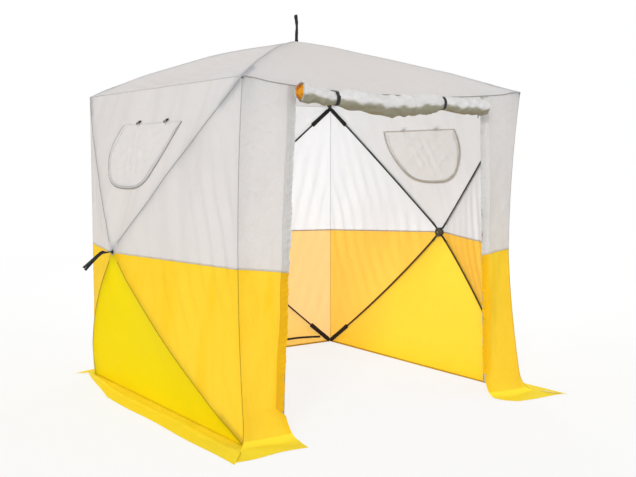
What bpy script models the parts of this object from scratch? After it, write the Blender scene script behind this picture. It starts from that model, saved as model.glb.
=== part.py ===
"""Pop-up work tent: four hub panels of cloth, each pushed out by four hinged poles.

Metres, +Z up. The doorway faces -Y. The origin is on the ground, under the middle of the whole
outline, pull straps and ground flaps included. Each hub panel is a shallow pyramid of cloth: its
round hub stands out of the panel's plane and carries four poles, which run inside the cloth to
the panel's corners and bow it outwards.
"""
import math

import bpy
import numpy as np
from mathutils import Matrix, Vector

# Tent
WIDTH = 1.80
DEPTH = 1.80
EAVE_HEIGHT = 1.70
ROOF_RISE = 0.30
WALL_POP = 0.25
SEAM_HEIGHT = 0.82

# Cloth
CLOTH = 0.002
GAP = 0.0004
EDGE_DRAW = 0.085
EDGE_DIP = 0.020
SHELL_STEPS = 6

# Poles
WALL_LOWER_BOW = 0.046
WALL_UPPER_BOW = 0.009
ROOF_POLE_BOW = 0.030
ROD_RADIUS = 0.0055
FERRULE_RADIUS = 0.006
FERRULE_LENGTH = 0.055
SLEEVE_RADIUS = 0.009
SLEEVE_LENGTH = 0.100
SLEEVE_CLEAR = 0.004
TIP_BACK = 0.045
POLE_STEP = 0.002
POLE_SIDES = 8

# Hubs
HUB_RADIUS = 0.030
HUB_CLEAR = 0.001
HUB_CORE_RADIUS = 0.011
HUB_CHAMFER = 0.002
PIVOT_RADIUS = 0.020
PIVOT_PIN_RADIUS = 0.0015
PIVOT_PIN_CLEAR = 0.0004
PIVOT_PIN_BITE = 0.003
SLOT_CLEAR = 0.0005
POLE_HEEL = 0.006
POLE_HEEL_RADIUS = 0.0042
CAP_THICKNESS = 0.003
CAP_BOSS_RADIUS = 0.006
CAP_BOSS_HEIGHT = 0.002
STRAP_HOLE_RADIUS = 0.012

# Pull straps
LUG_THICKNESS = 0.004
LUG_WIDTH = 0.006
LUG_CLEAR = 0.0008
PIN_RADIUS = 0.002
PIN_CLEAR = 0.0005
PIN_LENGTH = 0.018
PIN_RISE = 0.009
STRAP_WIDTH = 0.016
STRAP_THICKNESS = 0.003
STRAP_LOOP_RADIUS = 0.0055
STRAP_NOTCH_RADIUS = 0.009
ROOF_STRAP_LENGTH = 0.152
ROOF_STRAP_BEND = (0, -0.003, -0.004, 0.001, 0.010)
WALL_STRAP_REACH = 0.160
WALL_STRAP_DROP = 0.078
WALL_STRAP_LEVEL = 0.055
STRAP_FORK = 0.012

# Doorway
JAMB_TOP = 0.245
JAMB_BASE = 0.200
HEM_TOP = 0.050
HEM_BASE = 0.036
HEM_BACK = 0.015
ROLL_ENDS = (-0.660, 0.600)
ROLL_STRAPS = (-0.395, 0.285)
ROLL_RADIUS = 0.040
ROLL_PINCH = 0.006
ROLL_BULGE = 0.014
ROLL_BELOW_EAVE = 0.088
ROLL_SAG = 0.022
ROLL_END_SAG = 0.010
ROLL_SIDES = 12
ROLL_STRAP_WIDTH = 0.022
ROLL_STRAP_THICKNESS = 0.002
ROLL_STRAP_CLEAR = 0.0015
ROLL_STRAP_TURN = (115, 335)
DOOR_WEB = 0.004
ZIP_WIDTH = 0.020
ZIP_THICKNESS = 0.0015
ZIP_TEETH = 0.008
ZIP_BEHIND = 0.006
ZIP_FOOT = 0.080
ZIP_HEAD = 0.060
SLIDER_LENGTH = 0.026
SLIDER_WALL = 0.003
SLIDER_CLEAR = 0.0005
SLIDER_BELOW_EAVE = 0.100

# Windows
WINDOW_BELOW_EAVE = 0.190
WINDOW_HEIGHT = 0.350
WINDOW_WIDTH = 0.700
WINDOW_TAPER = 0.12
WINDOW_ROUND = 3.0
FLAP_LAP = 0.012
FLAP_LIFT = 0.0025
TOGGLE_SPACING = 0.320
TOGGLE_LENGTH = 0.030
TOGGLE_RADIUS = 0.005
TOGGLE_RISE = 0.012
TOGGLE_STANDOFF = 0.002

# Ground flaps and base strap
SKIRT_WIDTH = 0.170
SKIRT_CLEAR = 0.0015
FRONT_SKIRT_LENGTH = 0.240
BASE_STRAP_LENGTH = 1.600
BASE_STRAP_WIDTH = 0.014
BASE_STRAP_HEIGHT = 0.048

# Values that follow from the sizes above
POLE_UNDER = SLEEVE_RADIUS + CLOTH + SLEEVE_CLEAR
HUB_THICKNESS = 2 * (POLE_UNDER - CLOTH - HUB_CLEAR)
SLOT_WIDTH = 2 * (FERRULE_RADIUS + SLOT_CLEAR)
PIN_HEIGHT = POLE_UNDER + PIN_RISE
STRAP_OUT = PIN_RISE + WALL_STRAP_REACH
FRONT_REACH = DEPTH / 2 + SKIRT_WIDTH
BACK_REACH = DEPTH / 2 + WALL_POP + STRAP_OUT
CENTRE_Y = (FRONT_REACH - BACK_REACH) / 2
FRONT_Y = CENTRE_Y - DEPTH / 2
BACK_Y = CENTRE_Y + DEPTH / 2
ROLL_Y = FRONT_Y - ROLL_RADIUS
ROLL_HEIGHT = EAVE_HEIGHT - ROLL_BELOW_EAVE
SLIDER_HEIGHT = EAVE_HEIGHT - SLIDER_BELOW_EAVE
WINDOW_TOP = EAVE_HEIGHT - WINDOW_BELOW_EAVE

GREY = ("grey_cloth", "DDD9D5", 0.75, 0.0)
ROLLED = ("rolled_cloth", "CFCBC4", 0.75, 0.0)
YELLOW = ("yellow_cloth", "FFCE14", 0.70, 0.0)
BLACK_ROD = ("black_rod", "16140F", 0.40, 0.0)
HUB_PLASTIC = ("hub_plastic", "3A3A34", 0.50, 0.0)
WEBBING = ("black_webbing", "0D0D0D", 0.80, 0.0)
CLEAR_FILM = ("window_film", "E9ECEC", 0.20, 0.0)
ZIP_TAPE = ("zip_tape", "B9B6B0", 0.60, 0.0)
METAL = ("zip_metal", "9A9A98", 0.35, 1.0)


def clear_scene():
    for old in list(bpy.data.objects):
        bpy.data.objects.remove(old, do_unlink=True)


def srgb_to_linear(hex_colour):
    """Linear red, green, blue, alpha of a six-digit sRGB colour."""
    channels = [int(hex_colour[i:i + 2], 16) / 255 for i in (0, 2, 4)]
    linear = [c / 12.92 if c <= 0.04045 else ((c + 0.055) / 1.055) ** 2.4 for c in channels]
    return (*linear, 1.0)


def material(spec):
    """One Principled material for each finish, made the first time that it is asked for."""
    name, hex_colour, roughness, metallic = spec
    found = bpy.data.materials.get(name)
    if found:
        return found
    made = bpy.data.materials.new(name)
    made.use_nodes = True
    shader = made.node_tree.nodes["Principled BSDF"]
    shader.inputs["Base Color"].default_value = srgb_to_linear(hex_colour)
    shader.inputs["Roughness"].default_value = roughness
    shader.inputs["Metallic"].default_value = metallic
    return made


def add_object(name, mesh, finish, place=None):
    """A scene object for the mesh, with its finish and its place in the world."""
    made = bpy.data.objects.new(name, mesh)
    if not mesh.materials:
        mesh.materials.append(material(finish))
    made.matrix_world = place or Matrix.Identity(4)
    bpy.context.scene.collection.objects.link(made)
    return made


def add_guide(name, mesh, place=None):
    """A cutter or an added shape that a Boolean reads. It isn't part of the tent."""
    guide = bpy.data.objects.new("guide_" + name, mesh)
    guide.matrix_world = place or Matrix.Identity(4)
    guide.hide_render = True
    guide.display_type = "WIRE"
    bpy.context.scene.collection.objects.link(guide)
    return guide


def boolean(target, guide, operation):
    step = target.modifiers.new(operation.lower(), "BOOLEAN")
    step.operation = operation
    step.solver = "EXACT"
    step.object = guide


def signed_volume(points, triangles):
    corners = np.asarray(points)[np.asarray(triangles)]
    crossed = np.cross(corners[:, 1], corners[:, 2])
    return float(np.einsum("ij,ij->i", corners[:, 0], crossed).sum() / 6)


def mesh_from(name, points, triangles):
    """A mesh of the triangles, turned to face out."""
    points = np.asarray(points, dtype=float)
    triangles = np.asarray(triangles, dtype=int)
    centred = points - points.mean(axis=0)
    if signed_volume(centred, triangles) < 0:
        triangles = triangles[:, ::-1]
    mesh = bpy.data.meshes.new(name)
    mesh.from_pydata(points.tolist(), [], triangles.tolist())
    mesh.update()
    return mesh


def solid_between(name, front, back, ridge_sign=None):
    """A closed solid between two grids of points, each rows x columns x 3.

    ridge_sign gives each cell +1 or -1, the way that its diagonal edge runs.
    """
    rows, columns = front.shape[:2]
    count = rows * columns
    points = np.concatenate([front.reshape(-1, 3), back.reshape(-1, 3)])
    index = np.arange(count).reshape(rows, columns)
    triangles = []
    for r in range(rows - 1):
        for c in range(columns - 1):
            a, b = index[r, c], index[r, c + 1]
            d, e = index[r + 1, c], index[r + 1, c + 1]
            rising = ridge_sign is None or ridge_sign[r][c] > 0
            pair = [(a, b, e), (a, e, d)] if rising else [(a, b, d), (b, e, d)]
            for t in pair:
                triangles.append(t)
                triangles.append((t[0] + count, t[2] + count, t[1] + count))
    rim = list(index[0, :]) + list(index[1:, -1])
    rim += list(index[-1, -2::-1]) + list(index[-2:0:-1, 0])
    for start, end in zip(rim, rim[1:] + rim[:1]):
        triangles.append((end, start, start + count))
        triangles.append((end, start + count, end + count))
    return mesh_from(name, points, triangles)


def box(name, low, high):
    """A box mesh from its lowest and highest corners."""
    x0, y0, z0 = low
    x1, y1, z1 = high
    front = np.array([[(x0, y0, z0), (x1, y0, z0)], [(x0, y0, z1), (x1, y0, z1)]], dtype=float)
    back = front + np.array([0, y1 - y0, 0])
    return solid_between(name, front, back)


def tube_along(name, path, radii, sides):
    """A closed tube with flat ends along a path that bends only a little."""
    path = np.asarray(path, dtype=float)
    ahead = np.gradient(path, axis=0)
    ahead /= np.linalg.norm(ahead, axis=1)[:, None]
    side = np.cross(ahead, (0, 1, 0) if abs(ahead[0][1]) < 0.5 else (0, 0, 1))
    side /= np.linalg.norm(side, axis=1)[:, None]
    lift = np.cross(side, ahead)
    turn = (np.arange(sides) + 0.5) * 2 * math.pi / sides
    radii = np.asarray(radii, dtype=float)[:, None, None]
    rings = path[:, None] + radii * (np.cos(turn)[None, :, None] * side[:, None]
                                     + np.sin(turn)[None, :, None] * lift[:, None])
    points = np.concatenate([rings.reshape(-1, 3), path[:1], path[-1:]])
    start, end = len(points) - 2, len(points) - 1
    triangles = []
    for k in range(len(path) - 1):
        for s in range(sides):
            a, b = k * sides + s, k * sides + (s + 1) % sides
            triangles.append((a, b, b + sides))
            triangles.append((a, b + sides, a + sides))
    last = (len(path) - 1) * sides
    for s in range(sides):
        triangles.append((start, (s + 1) % sides, s))
        triangles.append((end, last + s, last + (s + 1) % sides))
    return mesh_from(name, points, triangles)


def rod(name, start, end, radius, sides=8):
    """A straight round bar between two points."""
    return tube_along(name, [start, end], [radius, radius], sides)


def turned(name, profile, sides=24):
    """A closed body turned about Z, from a profile of radius and height that starts and ends at 0."""
    inner = profile[1:-1]
    turn = np.arange(sides) * 2 * math.pi / sides
    points = [(0, 0, profile[0][1]), (0, 0, profile[-1][1])]
    for radius, height in inner:
        points += [(radius * math.cos(t), radius * math.sin(t), height) for t in turn]
    triangles = []
    for s in range(sides):
        n = (s + 1) % sides
        triangles.append((0, 2 + n, 2 + s))
        top = 2 + (len(inner) - 1) * sides
        triangles.append((1, top + s, top + n))
        for k in range(len(inner) - 1):
            a, b = 2 + k * sides + s, 2 + k * sides + n
            triangles.append((a, b, b + sides))
            triangles.append((a, b + sides, a + sides))
    return mesh_from(name, points, triangles)


class HubPanel:
    """One pyramid of cloth: its plane, its hub and the shape that its poles give it."""

    def __init__(self, name, centre, across, up, normal, half_across, half_up, pop, bows,
                 front_edge=0):
        self.name = name
        self.centre = np.array(centre, dtype=float)
        self.across = np.array(across, dtype=float)
        self.up = np.array(up, dtype=float)
        self.normal = np.array(normal, dtype=float)
        self.half_across = half_across
        self.half_up = half_up
        self.pop = pop
        self.bows = bows
        self.front_edge = front_edge
        self.diagonal = math.hypot(half_across, half_up)
        self.plateau = 1.15 * HUB_RADIUS / min(half_across, half_up)
        steps = np.linspace(0, 1, SHELL_STEPS + 1)[1:]
        self.reach = np.concatenate([[self.plateau], steps])

    def bow(self, up):
        """The bow of the poles below the hub, or of those above it where up is positive."""
        return np.where(np.asarray(up) > 0, self.bows[1], self.bows[0])

    def depth(self, share, bow, beside_pole=1.0):
        """How far the cloth stands out at a share of the way from the hub (0) to the edge (1).

        The cloth falls evenly from the hub to the edge, and the poles' bow lifts it by a parabola
        that is full along a pole and fades to nothing midway between two poles.
        """
        s = (1 - np.maximum(share, self.plateau)) / (1 - self.plateau)
        return self.pop * s + bow * 4 * s * (1 - s) * beside_pole ** 2

    def points(self, across, up, lift=0.0):
        """Points on the cloth's outer face, for shares from -1 to 1 along the panel's two axes."""
        across, up = np.asarray(across, dtype=float), np.asarray(up, dtype=float)
        share = np.maximum(np.abs(across), np.abs(up))
        nearest = np.minimum(np.abs(across), np.abs(up))
        beside_pole = np.where(share > 0, nearest / np.maximum(share, 1e-9), 0)
        out = self.depth(share, self.bow(up), beside_pole) + lift
        along = across * self.half_across
        if self.front_edge:
            in_front = (-across >= np.abs(up)) & (share > 0)
            drawn = np.where(in_front, share * (1 - beside_pole ** 2), 0)
            along = along + EDGE_DRAW * drawn
            out = out - EDGE_DIP * drawn
        return (self.centre + along[..., None] * self.across
                + (up * self.half_up)[..., None] * self.up + out[..., None] * self.normal)

    def lines(self, low=-1.0, high=1.0):
        """Grid lines from low to high, so that every pole lies on the grid's diagonals."""
        full = np.concatenate([-self.reach[::-1], self.reach])
        inside = [v for v in full if low + 0.01 < v < high - 0.01]
        return np.array([low] + inside + [high])

    def shell(self, name, across, up, lift=0.0):
        """The cloth between the given grid lines, as a closed solid one cloth thick."""
        grid_across, grid_up = np.meshgrid(across, up)
        front = self.points(grid_across, grid_up, lift)
        back = front - CLOTH * self.normal
        middle_across = (across[:-1] + across[1:]) / 2
        middle_up = (up[:-1] + up[1:]) / 2
        ridge = np.sign(np.outer(middle_up, middle_across))
        return solid_between(name, front, back, ridge)

    def frame(self, out=0.0):
        """A placement over the hub with Z along the panel's normal and Y along its up axis."""
        spot = self.centre + out * self.normal
        turn = Matrix((np.cross(self.up, self.normal), self.up, self.normal)).transposed()
        return Matrix.Translation(Vector(spot)) @ turn.to_4x4()


def make_panels():
    half_wall = (EAVE_HEIGHT - GAP) / 2
    side_half = DEPTH / 2
    wall_bows = (WALL_LOWER_BOW, WALL_UPPER_BOW)
    roof = HubPanel("roof", (0, CENTRE_Y, EAVE_HEIGHT + CLOTH), (1, 0, 0), (0, 1, 0), (0, 0, 1),
                    WIDTH / 2, DEPTH / 2, ROOF_RISE, (ROOF_POLE_BOW, ROOF_POLE_BOW))
    left = HubPanel("left", (-WIDTH / 2, CENTRE_Y, half_wall), (0, 1, 0), (0, 0, 1), (-1, 0, 0),
                    side_half, half_wall, WALL_POP, wall_bows, front_edge=1)
    right = HubPanel("right", (WIDTH / 2, CENTRE_Y, half_wall), (0, 1, 0), (0, 0, 1), (1, 0, 0),
                     side_half, half_wall, WALL_POP, wall_bows, front_edge=1)
    back = HubPanel("back", (0, BACK_Y, half_wall), (1, 0, 0), (0, 0, 1), (0, 1, 0),
                    WIDTH / 2, half_wall, WALL_POP, wall_bows)
    return {"roof": roof, "left": left, "right": right, "back": back}


def cut_strap_hole(target, panel):
    """The small round hole over the hub, where the pull strap comes out."""
    reach = panel.pop + POLE_UNDER
    cutter = rod("hole_" + target.name, (0, 0, panel.pop - POLE_UNDER), (0, 0, reach),
                 STRAP_HOLE_RADIUS, 12)
    boolean(target, add_guide("hole_" + target.name, cutter, panel.frame()), "DIFFERENCE")


def make_canopy(panel):
    lines = panel.lines()
    canopy = add_object("canopy", panel.shell("canopy", lines, lines), GREY)
    cut_strap_hole(canopy, panel)


def seam_share(panel):
    return (SEAM_HEIGHT - panel.half_up) / panel.half_up


def side_limit(panel):
    """Side walls stop short of the back wall, whose cloth passes behind them."""
    if panel.name == "back":
        return 1.0
    return 1.0 - (CLOTH + GAP) / panel.half_across


def make_wall(panel):
    """A wall's grey upper and yellow lower cloth, which meet along the belt seam."""
    seam = seam_share(panel)
    half_gap = GAP / 2 / panel.half_up
    across = panel.lines(high=side_limit(panel))
    upper_lines = panel.lines(low=seam + half_gap)
    lower_lines = panel.lines(high=seam - half_gap)
    name = panel.name + "_wall"
    upper = add_object(name + "_upper", panel.shell(name + "_upper", across, upper_lines), GREY)
    add_object(name + "_lower", panel.shell(name + "_lower", across, lower_lines), YELLOW)
    cut_strap_hole(upper, panel)
    return upper


def window_cutter(name, panel, margin):
    """A block with the window's outline: a flat top, and sides that round into the bottom.

    A margin above 0 widens the sides and the bottom. One below 0 also lowers the top.
    """
    top = WINDOW_TOP + min(margin, 0)
    height = WINDOW_HEIGHT + margin + min(margin, 0)
    drop = np.concatenate([np.linspace(0, 0.8, 7), 1 - np.array([0.12, 0.06, 0.02, 0.0])])
    narrowing = (1 - WINDOW_TAPER * drop) * (1 - drop ** WINDOW_ROUND) ** (1 / WINDOW_ROUND)
    half_width = (WINDOW_WIDTH / 2 + margin) * narrowing
    half_width[-1] = half_width[-2] / 4
    z = top - drop * height
    out = panel.centre + panel.normal * (2 * WALL_POP)
    y_left, y_right = CENTRE_Y - half_width, CENTRE_Y + half_width
    front = np.array([[(out[0], a, h), (out[0], b, h)] for a, b, h in zip(y_left, y_right, z)])
    back = front - panel.normal * (3 * WALL_POP)
    return add_guide(name, solid_between(name, front, back))


def make_window(panel, upper):
    """The film set in the wall, and the cloth flap that covers it from outside."""
    boolean(upper, window_cutter(panel.name + "_opening", panel, 0.0), "DIFFERENCE")
    rows = panel.lines(low=seam_share(panel) + 0.1)
    film = add_object(panel.name + "_window_film",
                      panel.shell(panel.name + "_window_film", panel.lines(), rows), CLEAR_FILM)
    boolean(film, window_cutter(panel.name + "_film_outline", panel, -GAP), "INTERSECT")
    flap_mesh = panel.shell(panel.name + "_window_flap", panel.lines(), rows, FLAP_LIFT)
    flap = add_object(panel.name + "_window_flap", flap_mesh, GREY)
    boolean(flap, window_cutter(panel.name + "_flap_outline", panel, FLAP_LAP), "INTERSECT")
    add_toggles(panel)


def add_toggles(panel):
    """Two small toggles above the window, which hold the flap when it is rolled up."""
    foot = WINDOW_TOP + TOGGLE_RISE
    ends = (np.array([foot, foot + TOGGLE_LENGTH]) - panel.half_up) / panel.half_up
    half = TOGGLE_LENGTH / 2
    waist = TOGGLE_RADIUS * 0.8
    profile = [(0, -half), (waist, -half), (TOGGLE_RADIUS, -half * 0.6),
               (TOGGLE_RADIUS, half * 0.6), (waist, half), (0, half)]
    mesh = turned("toggle", profile, 12)
    for place, side in (("front", -1), ("rear", 1)):
        across = side * TOGGLE_SPACING / 2 / panel.half_across
        low, high = [Vector(point) for point in panel.points(across, ends)]
        along = (high - low).normalized()
        outward = along.cross(Vector(panel.across)) * -panel.normal[0]
        spot = (low + high) / 2 + outward * (TOGGLE_RADIUS + TOGGLE_STANDOFF)
        turn = Matrix((outward, along.cross(outward), along)).transposed()
        add_object(f"{panel.name}_window_toggle_{place}", mesh, WEBBING,
                   Matrix.Translation(spot) @ turn.to_4x4())


def pole_path(panel, bow):
    """The pole's centre line from its hub pivot: distance along the panel and height over it."""
    tip_share = 1 - TIP_BACK / panel.diagonal
    sleeve_share = tip_share - SLEEVE_LENGTH / panel.diagonal
    ferrule_share = (PIVOT_RADIUS + FERRULE_LENGTH) / panel.diagonal
    shares = sorted(set([ferrule_share, sleeve_share, tip_share]
                        + [r for r in panel.reach[1:] if ferrule_share < r < sleeve_share]))
    heights = np.interp(shares, panel.reach, panel.depth(panel.reach, bow)) - panel.pop
    path = [(-POLE_HEEL, 0), (0, 0)]
    path += [(s * panel.diagonal - PIVOT_RADIUS, h) for s, h in zip(shares, heights)]
    return path, ferrule_share * panel.diagonal, sleeve_share * panel.diagonal


def pole_mesh(panel, bow):
    """A bowed rod with a thicker ferrule at the hub and a sleeve at the corner end.

    It is drawn about its pivot: X runs along the panel towards the corner, Z out of the panel.
    """
    path, ferrule_end, sleeve_start = pole_path(panel, bow)
    points, radii = [], []
    for distance, height in path:
        from_hub = distance + PIVOT_RADIUS
        if abs(from_hub - ferrule_end) < 1e-9:
            steps = [(0, FERRULE_RADIUS), (POLE_STEP, ROD_RADIUS)]
        elif abs(from_hub - sleeve_start) < 1e-9:
            steps = [(0, ROD_RADIUS), (POLE_STEP, SLEEVE_RADIUS)]
        elif from_hub < ferrule_end:
            steps = [(0, FERRULE_RADIUS)]
        elif from_hub > sleeve_start:
            steps = [(0, SLEEVE_RADIUS)]
        else:
            steps = [(0, ROD_RADIUS)]
        for ahead, radius in steps:
            points.append((distance + ahead, 0, height))
            radii.append(radius)
    radii[0] = POLE_HEEL_RADIUS
    return tube_along(panel.name + "_pole", points, radii, POLE_SIDES)


def corner_directions(panel):
    """A name and a unit vector in the panel's plane for each of its four corners."""
    names = {"roof": ("front", "back"), "left": ("lower", "upper"),
             "right": ("lower", "upper"), "back": ("lower", "upper")}[panel.name]
    sides = {"roof": ("left", "right"), "left": ("front", "rear"),
             "right": ("front", "rear"), "back": ("left", "right")}[panel.name]
    corners = {}
    for row, up_sign in zip(names, (-1, 1)):
        for side, across_sign in zip(sides, (-1, 1)):
            direction = (across_sign * panel.half_across * panel.across
                         + up_sign * panel.half_up * panel.up) / panel.diagonal
            corners[f"{row}_{side}"] = direction
    return corners


def pole_place(panel, direction):
    """The pole's placement: its origin on its pivot, at the hub's middle height."""
    spot = (panel.centre + (panel.pop - POLE_UNDER) * panel.normal + PIVOT_RADIUS * direction)
    turn = Matrix((direction, np.cross(panel.normal, direction), panel.normal)).transposed()
    return Matrix.Translation(Vector(spot)) @ turn.to_4x4()


def make_poles(panel):
    """Four poles, each with a cross hole for its pivot pin. Poles of one bow share a mesh."""
    meshes = {bow: pole_mesh(panel, bow) for bow in panel.bows}
    bore = PIVOT_PIN_RADIUS + PIVOT_PIN_CLEAR
    for corner, direction in corner_directions(panel).items():
        name = f"{panel.name}_pole_{corner}"
        place = pole_place(panel, direction)
        bow = float(panel.bow(np.dot(direction, panel.up)))
        pole = add_object(name, meshes[bow], BLACK_ROD, place)
        cutter = rod("bore_" + name, (0, -2 * SLOT_WIDTH, 0), (0, 2 * SLOT_WIDTH, 0), bore)
        boolean(pole, add_guide("bore_" + name, cutter, place), "DIFFERENCE")


def make_hub(panel):
    """A chamfered disc with four open slots, a pivot pin across each, and the strap's lug."""
    half = HUB_THICKNESS / 2
    rim = HUB_RADIUS - HUB_CHAMFER
    profile = [(0, -half), (rim, -half), (HUB_RADIUS, HUB_CHAMFER - half),
               (HUB_RADIUS, half - HUB_CHAMFER), (rim, half), (0, half)]
    place = panel.frame(out=panel.pop - POLE_UNDER)
    name = panel.name + "_hub"
    hub = add_object(name, turned(name, profile), HUB_PLASTIC, place)
    pin_half = SLOT_WIDTH / 2 + PIVOT_PIN_BITE
    for corner, direction in corner_directions(panel).items():
        turn = pole_place(panel, direction)
        slot = box("slot", (HUB_CORE_RADIUS - PIVOT_RADIUS, -SLOT_WIDTH / 2, -HUB_THICKNESS),
                   (2 * HUB_RADIUS, SLOT_WIDTH / 2, HUB_THICKNESS))
        boolean(hub, add_guide(f"{name}_slot_{corner}", slot, turn), "DIFFERENCE")
    for corner, direction in corner_directions(panel).items():
        turn = pole_place(panel, direction)
        pin = rod("pin", (0, -pin_half, 0), (0, pin_half, 0), PIVOT_PIN_RADIUS)
        boolean(hub, add_guide(f"{name}_pin_{corner}", pin, turn), "UNION")
    lug = box("lug", (-LUG_THICKNESS / 2, -LUG_WIDTH / 2, half - HUB_CHAMFER),
              (LUG_THICKNESS / 2, LUG_WIDTH / 2, PIN_HEIGHT + PIN_RADIUS))
    boolean(hub, add_guide(name + "_lug", lug, place), "UNION")
    cross = rod("cross", (-PIN_LENGTH / 2, 0, PIN_HEIGHT), (PIN_LENGTH / 2, 0, PIN_HEIGHT),
                PIN_RADIUS)
    boolean(hub, add_guide(name + "_cross_pin", cross, place), "UNION")
    make_hub_cap(panel, place)


def make_hub_cap(panel, place):
    """The round cover on the hub's inner face, with its raised centre screw."""
    top = -HUB_THICKNESS / 2 - GAP
    bottom = top - CAP_THICKNESS
    rim = HUB_RADIUS - HUB_CHAMFER
    low = bottom - CAP_BOSS_HEIGHT
    profile = [(0, low), (CAP_BOSS_RADIUS, low), (CAP_BOSS_RADIUS, bottom), (rim, bottom),
               (HUB_RADIUS, bottom + HUB_CHAMFER), (HUB_RADIUS, top), (0, top)]
    name = panel.name + "_hub_cap"
    add_object(name, turned(name, profile), HUB_PLASTIC, place)


def ribbon(name, path, width, thickness):
    """A flat strap extruded along X, whose centre line runs in the YZ plane."""
    path = np.asarray(path, dtype=float)
    ahead = np.gradient(path, axis=0)
    ahead /= np.linalg.norm(ahead, axis=1)[:, None]
    across = np.stack([-ahead[:, 1], ahead[:, 0]], axis=1) * thickness / 2
    sides = np.stack([path - across, path + across], axis=1)
    front = np.concatenate([np.full(sides.shape[:2] + (1,), -width / 2), sides], axis=2)
    back = front + np.array([width, 0, 0])
    return solid_between(name, front, back)


def strap_tails(panel):
    """Centre lines of the strap's two tails, as distance to the side and distance out."""
    if panel.name == "roof":
        length = np.linspace(0, ROOF_STRAP_LENGTH, len(ROOF_STRAP_BEND))
        return [list(zip(ROOF_STRAP_BEND, length))]
    reach = WALL_STRAP_REACH - STRAP_THICKNESS
    elbow = (reach + WALL_STRAP_LEVEL) / 2
    tails = []
    for spread in (0, 1):
        fork = STRAP_FORK * spread
        tails.append([(0, 0), (0, WALL_STRAP_LEVEL), (-(WALL_STRAP_DROP + fork) / 2, elbow),
                      (-WALL_STRAP_DROP - fork, reach - fork / 2)])
    return tails


def make_pull_strap(panel):
    """The webbing strap that pops the panel out. It swings on the cross pin of its hub."""
    place = panel.frame(out=panel.pop - POLE_UNDER + PIN_HEIGHT)
    name = panel.name + "_pull_strap"
    eye = rod(name, (-STRAP_WIDTH / 2, 0, 0), (STRAP_WIDTH / 2, 0, 0), STRAP_LOOP_RADIUS, 12)
    strap = add_object(name, eye, WEBBING, place)
    for number, tail in enumerate(strap_tails(panel)):
        mesh = ribbon("tail", tail, STRAP_WIDTH, STRAP_THICKNESS)
        boolean(strap, add_guide(f"{name}_tail_{number}", mesh, place), "UNION")
    bore = rod("bore", (-STRAP_WIDTH, 0, 0), (STRAP_WIDTH, 0, 0), PIN_RADIUS + PIN_CLEAR)
    boolean(strap, add_guide(name + "_bore", bore, place), "DIFFERENCE")
    half = LUG_THICKNESS / 2 + LUG_CLEAR
    notch = rod("notch", (-half, 0, 0), (half, 0, 0), STRAP_NOTCH_RADIUS, 12)
    boolean(strap, add_guide(name + "_notch", notch, place), "DIFFERENCE")


def jamb_columns(side, heights):
    """Points of a front panel from the corner edge to the fold and on to the hem's free edge."""
    share = 1 - heights / EAVE_HEIGHT
    arch = 1 - (2 * share - 1) ** 2
    corner = -WIDTH / 2 + CLOTH + GAP + EDGE_DIP * arch
    corner_y = FRONT_Y + EDGE_DRAW * arch
    fold = -WIDTH / 2 + JAMB_TOP + (JAMB_BASE - JAMB_TOP) * share
    hem = fold + HEM_TOP + (HEM_BASE - HEM_TOP) * share
    fold_y = np.full_like(heights, FRONT_Y)
    columns = []
    for along in (0, 0.33, 0.67, 1):
        x = corner + (fold - corner) * along
        y = corner_y + (fold_y - corner_y) * along ** 1.5
        columns.append(np.stack([x, y, heights], axis=1))
    columns.append(np.stack([hem, fold_y + HEM_BACK, heights], axis=1))
    grid = np.stack(columns, axis=1)
    grid[..., 0] *= -side
    return grid


def make_jamb(side_name, side):
    """The narrow cloth panel between a front corner and the doorway, grey over yellow."""
    top = np.linspace(SEAM_HEIGHT + GAP / 2, EAVE_HEIGHT - GAP, SHELL_STEPS)
    low = np.linspace(0, SEAM_HEIGHT - GAP / 2, SHELL_STEPS)
    for part, heights, finish in (("upper", top, GREY), ("lower", low, YELLOW)):
        name = f"front_{side_name}_jamb_{part}"
        front = jamb_columns(side, heights)
        back = front + np.array([0, CLOTH, 0])
        add_object(name, solid_between(name, front, back), finish)


def hem_edge(height):
    """Distance of the hem's free edge from the tent's middle, at a height."""
    share = 1 - height / EAVE_HEIGHT
    fold = JAMB_TOP + (JAMB_BASE - JAMB_TOP) * share
    return WIDTH / 2 - fold - HEM_TOP - (HEM_BASE - HEM_TOP) * share


def zip_place(side):
    """The zip's line: its origin at the slider's rest height, Z up along the tape."""
    head, foot = EAVE_HEIGHT - ZIP_HEAD, ZIP_FOOT
    top = Vector((side * hem_edge(head), 0, head))
    bottom = Vector((side * hem_edge(foot), 0, foot))
    up = (top - bottom).normalized()
    inward = Vector((0, 1, 0)).cross(up) * -side
    behind = FRONT_Y + HEM_BACK + CLOTH + ZIP_BEHIND
    origin = Vector((side * hem_edge(SLIDER_HEIGHT), behind, SLIDER_HEIGHT))
    turn = Matrix((inward, up.cross(inward), up)).transposed()
    return Matrix.Translation(origin) @ turn.to_4x4(), top.z - SLIDER_HEIGHT, bottom.z - SLIDER_HEIGHT


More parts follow.
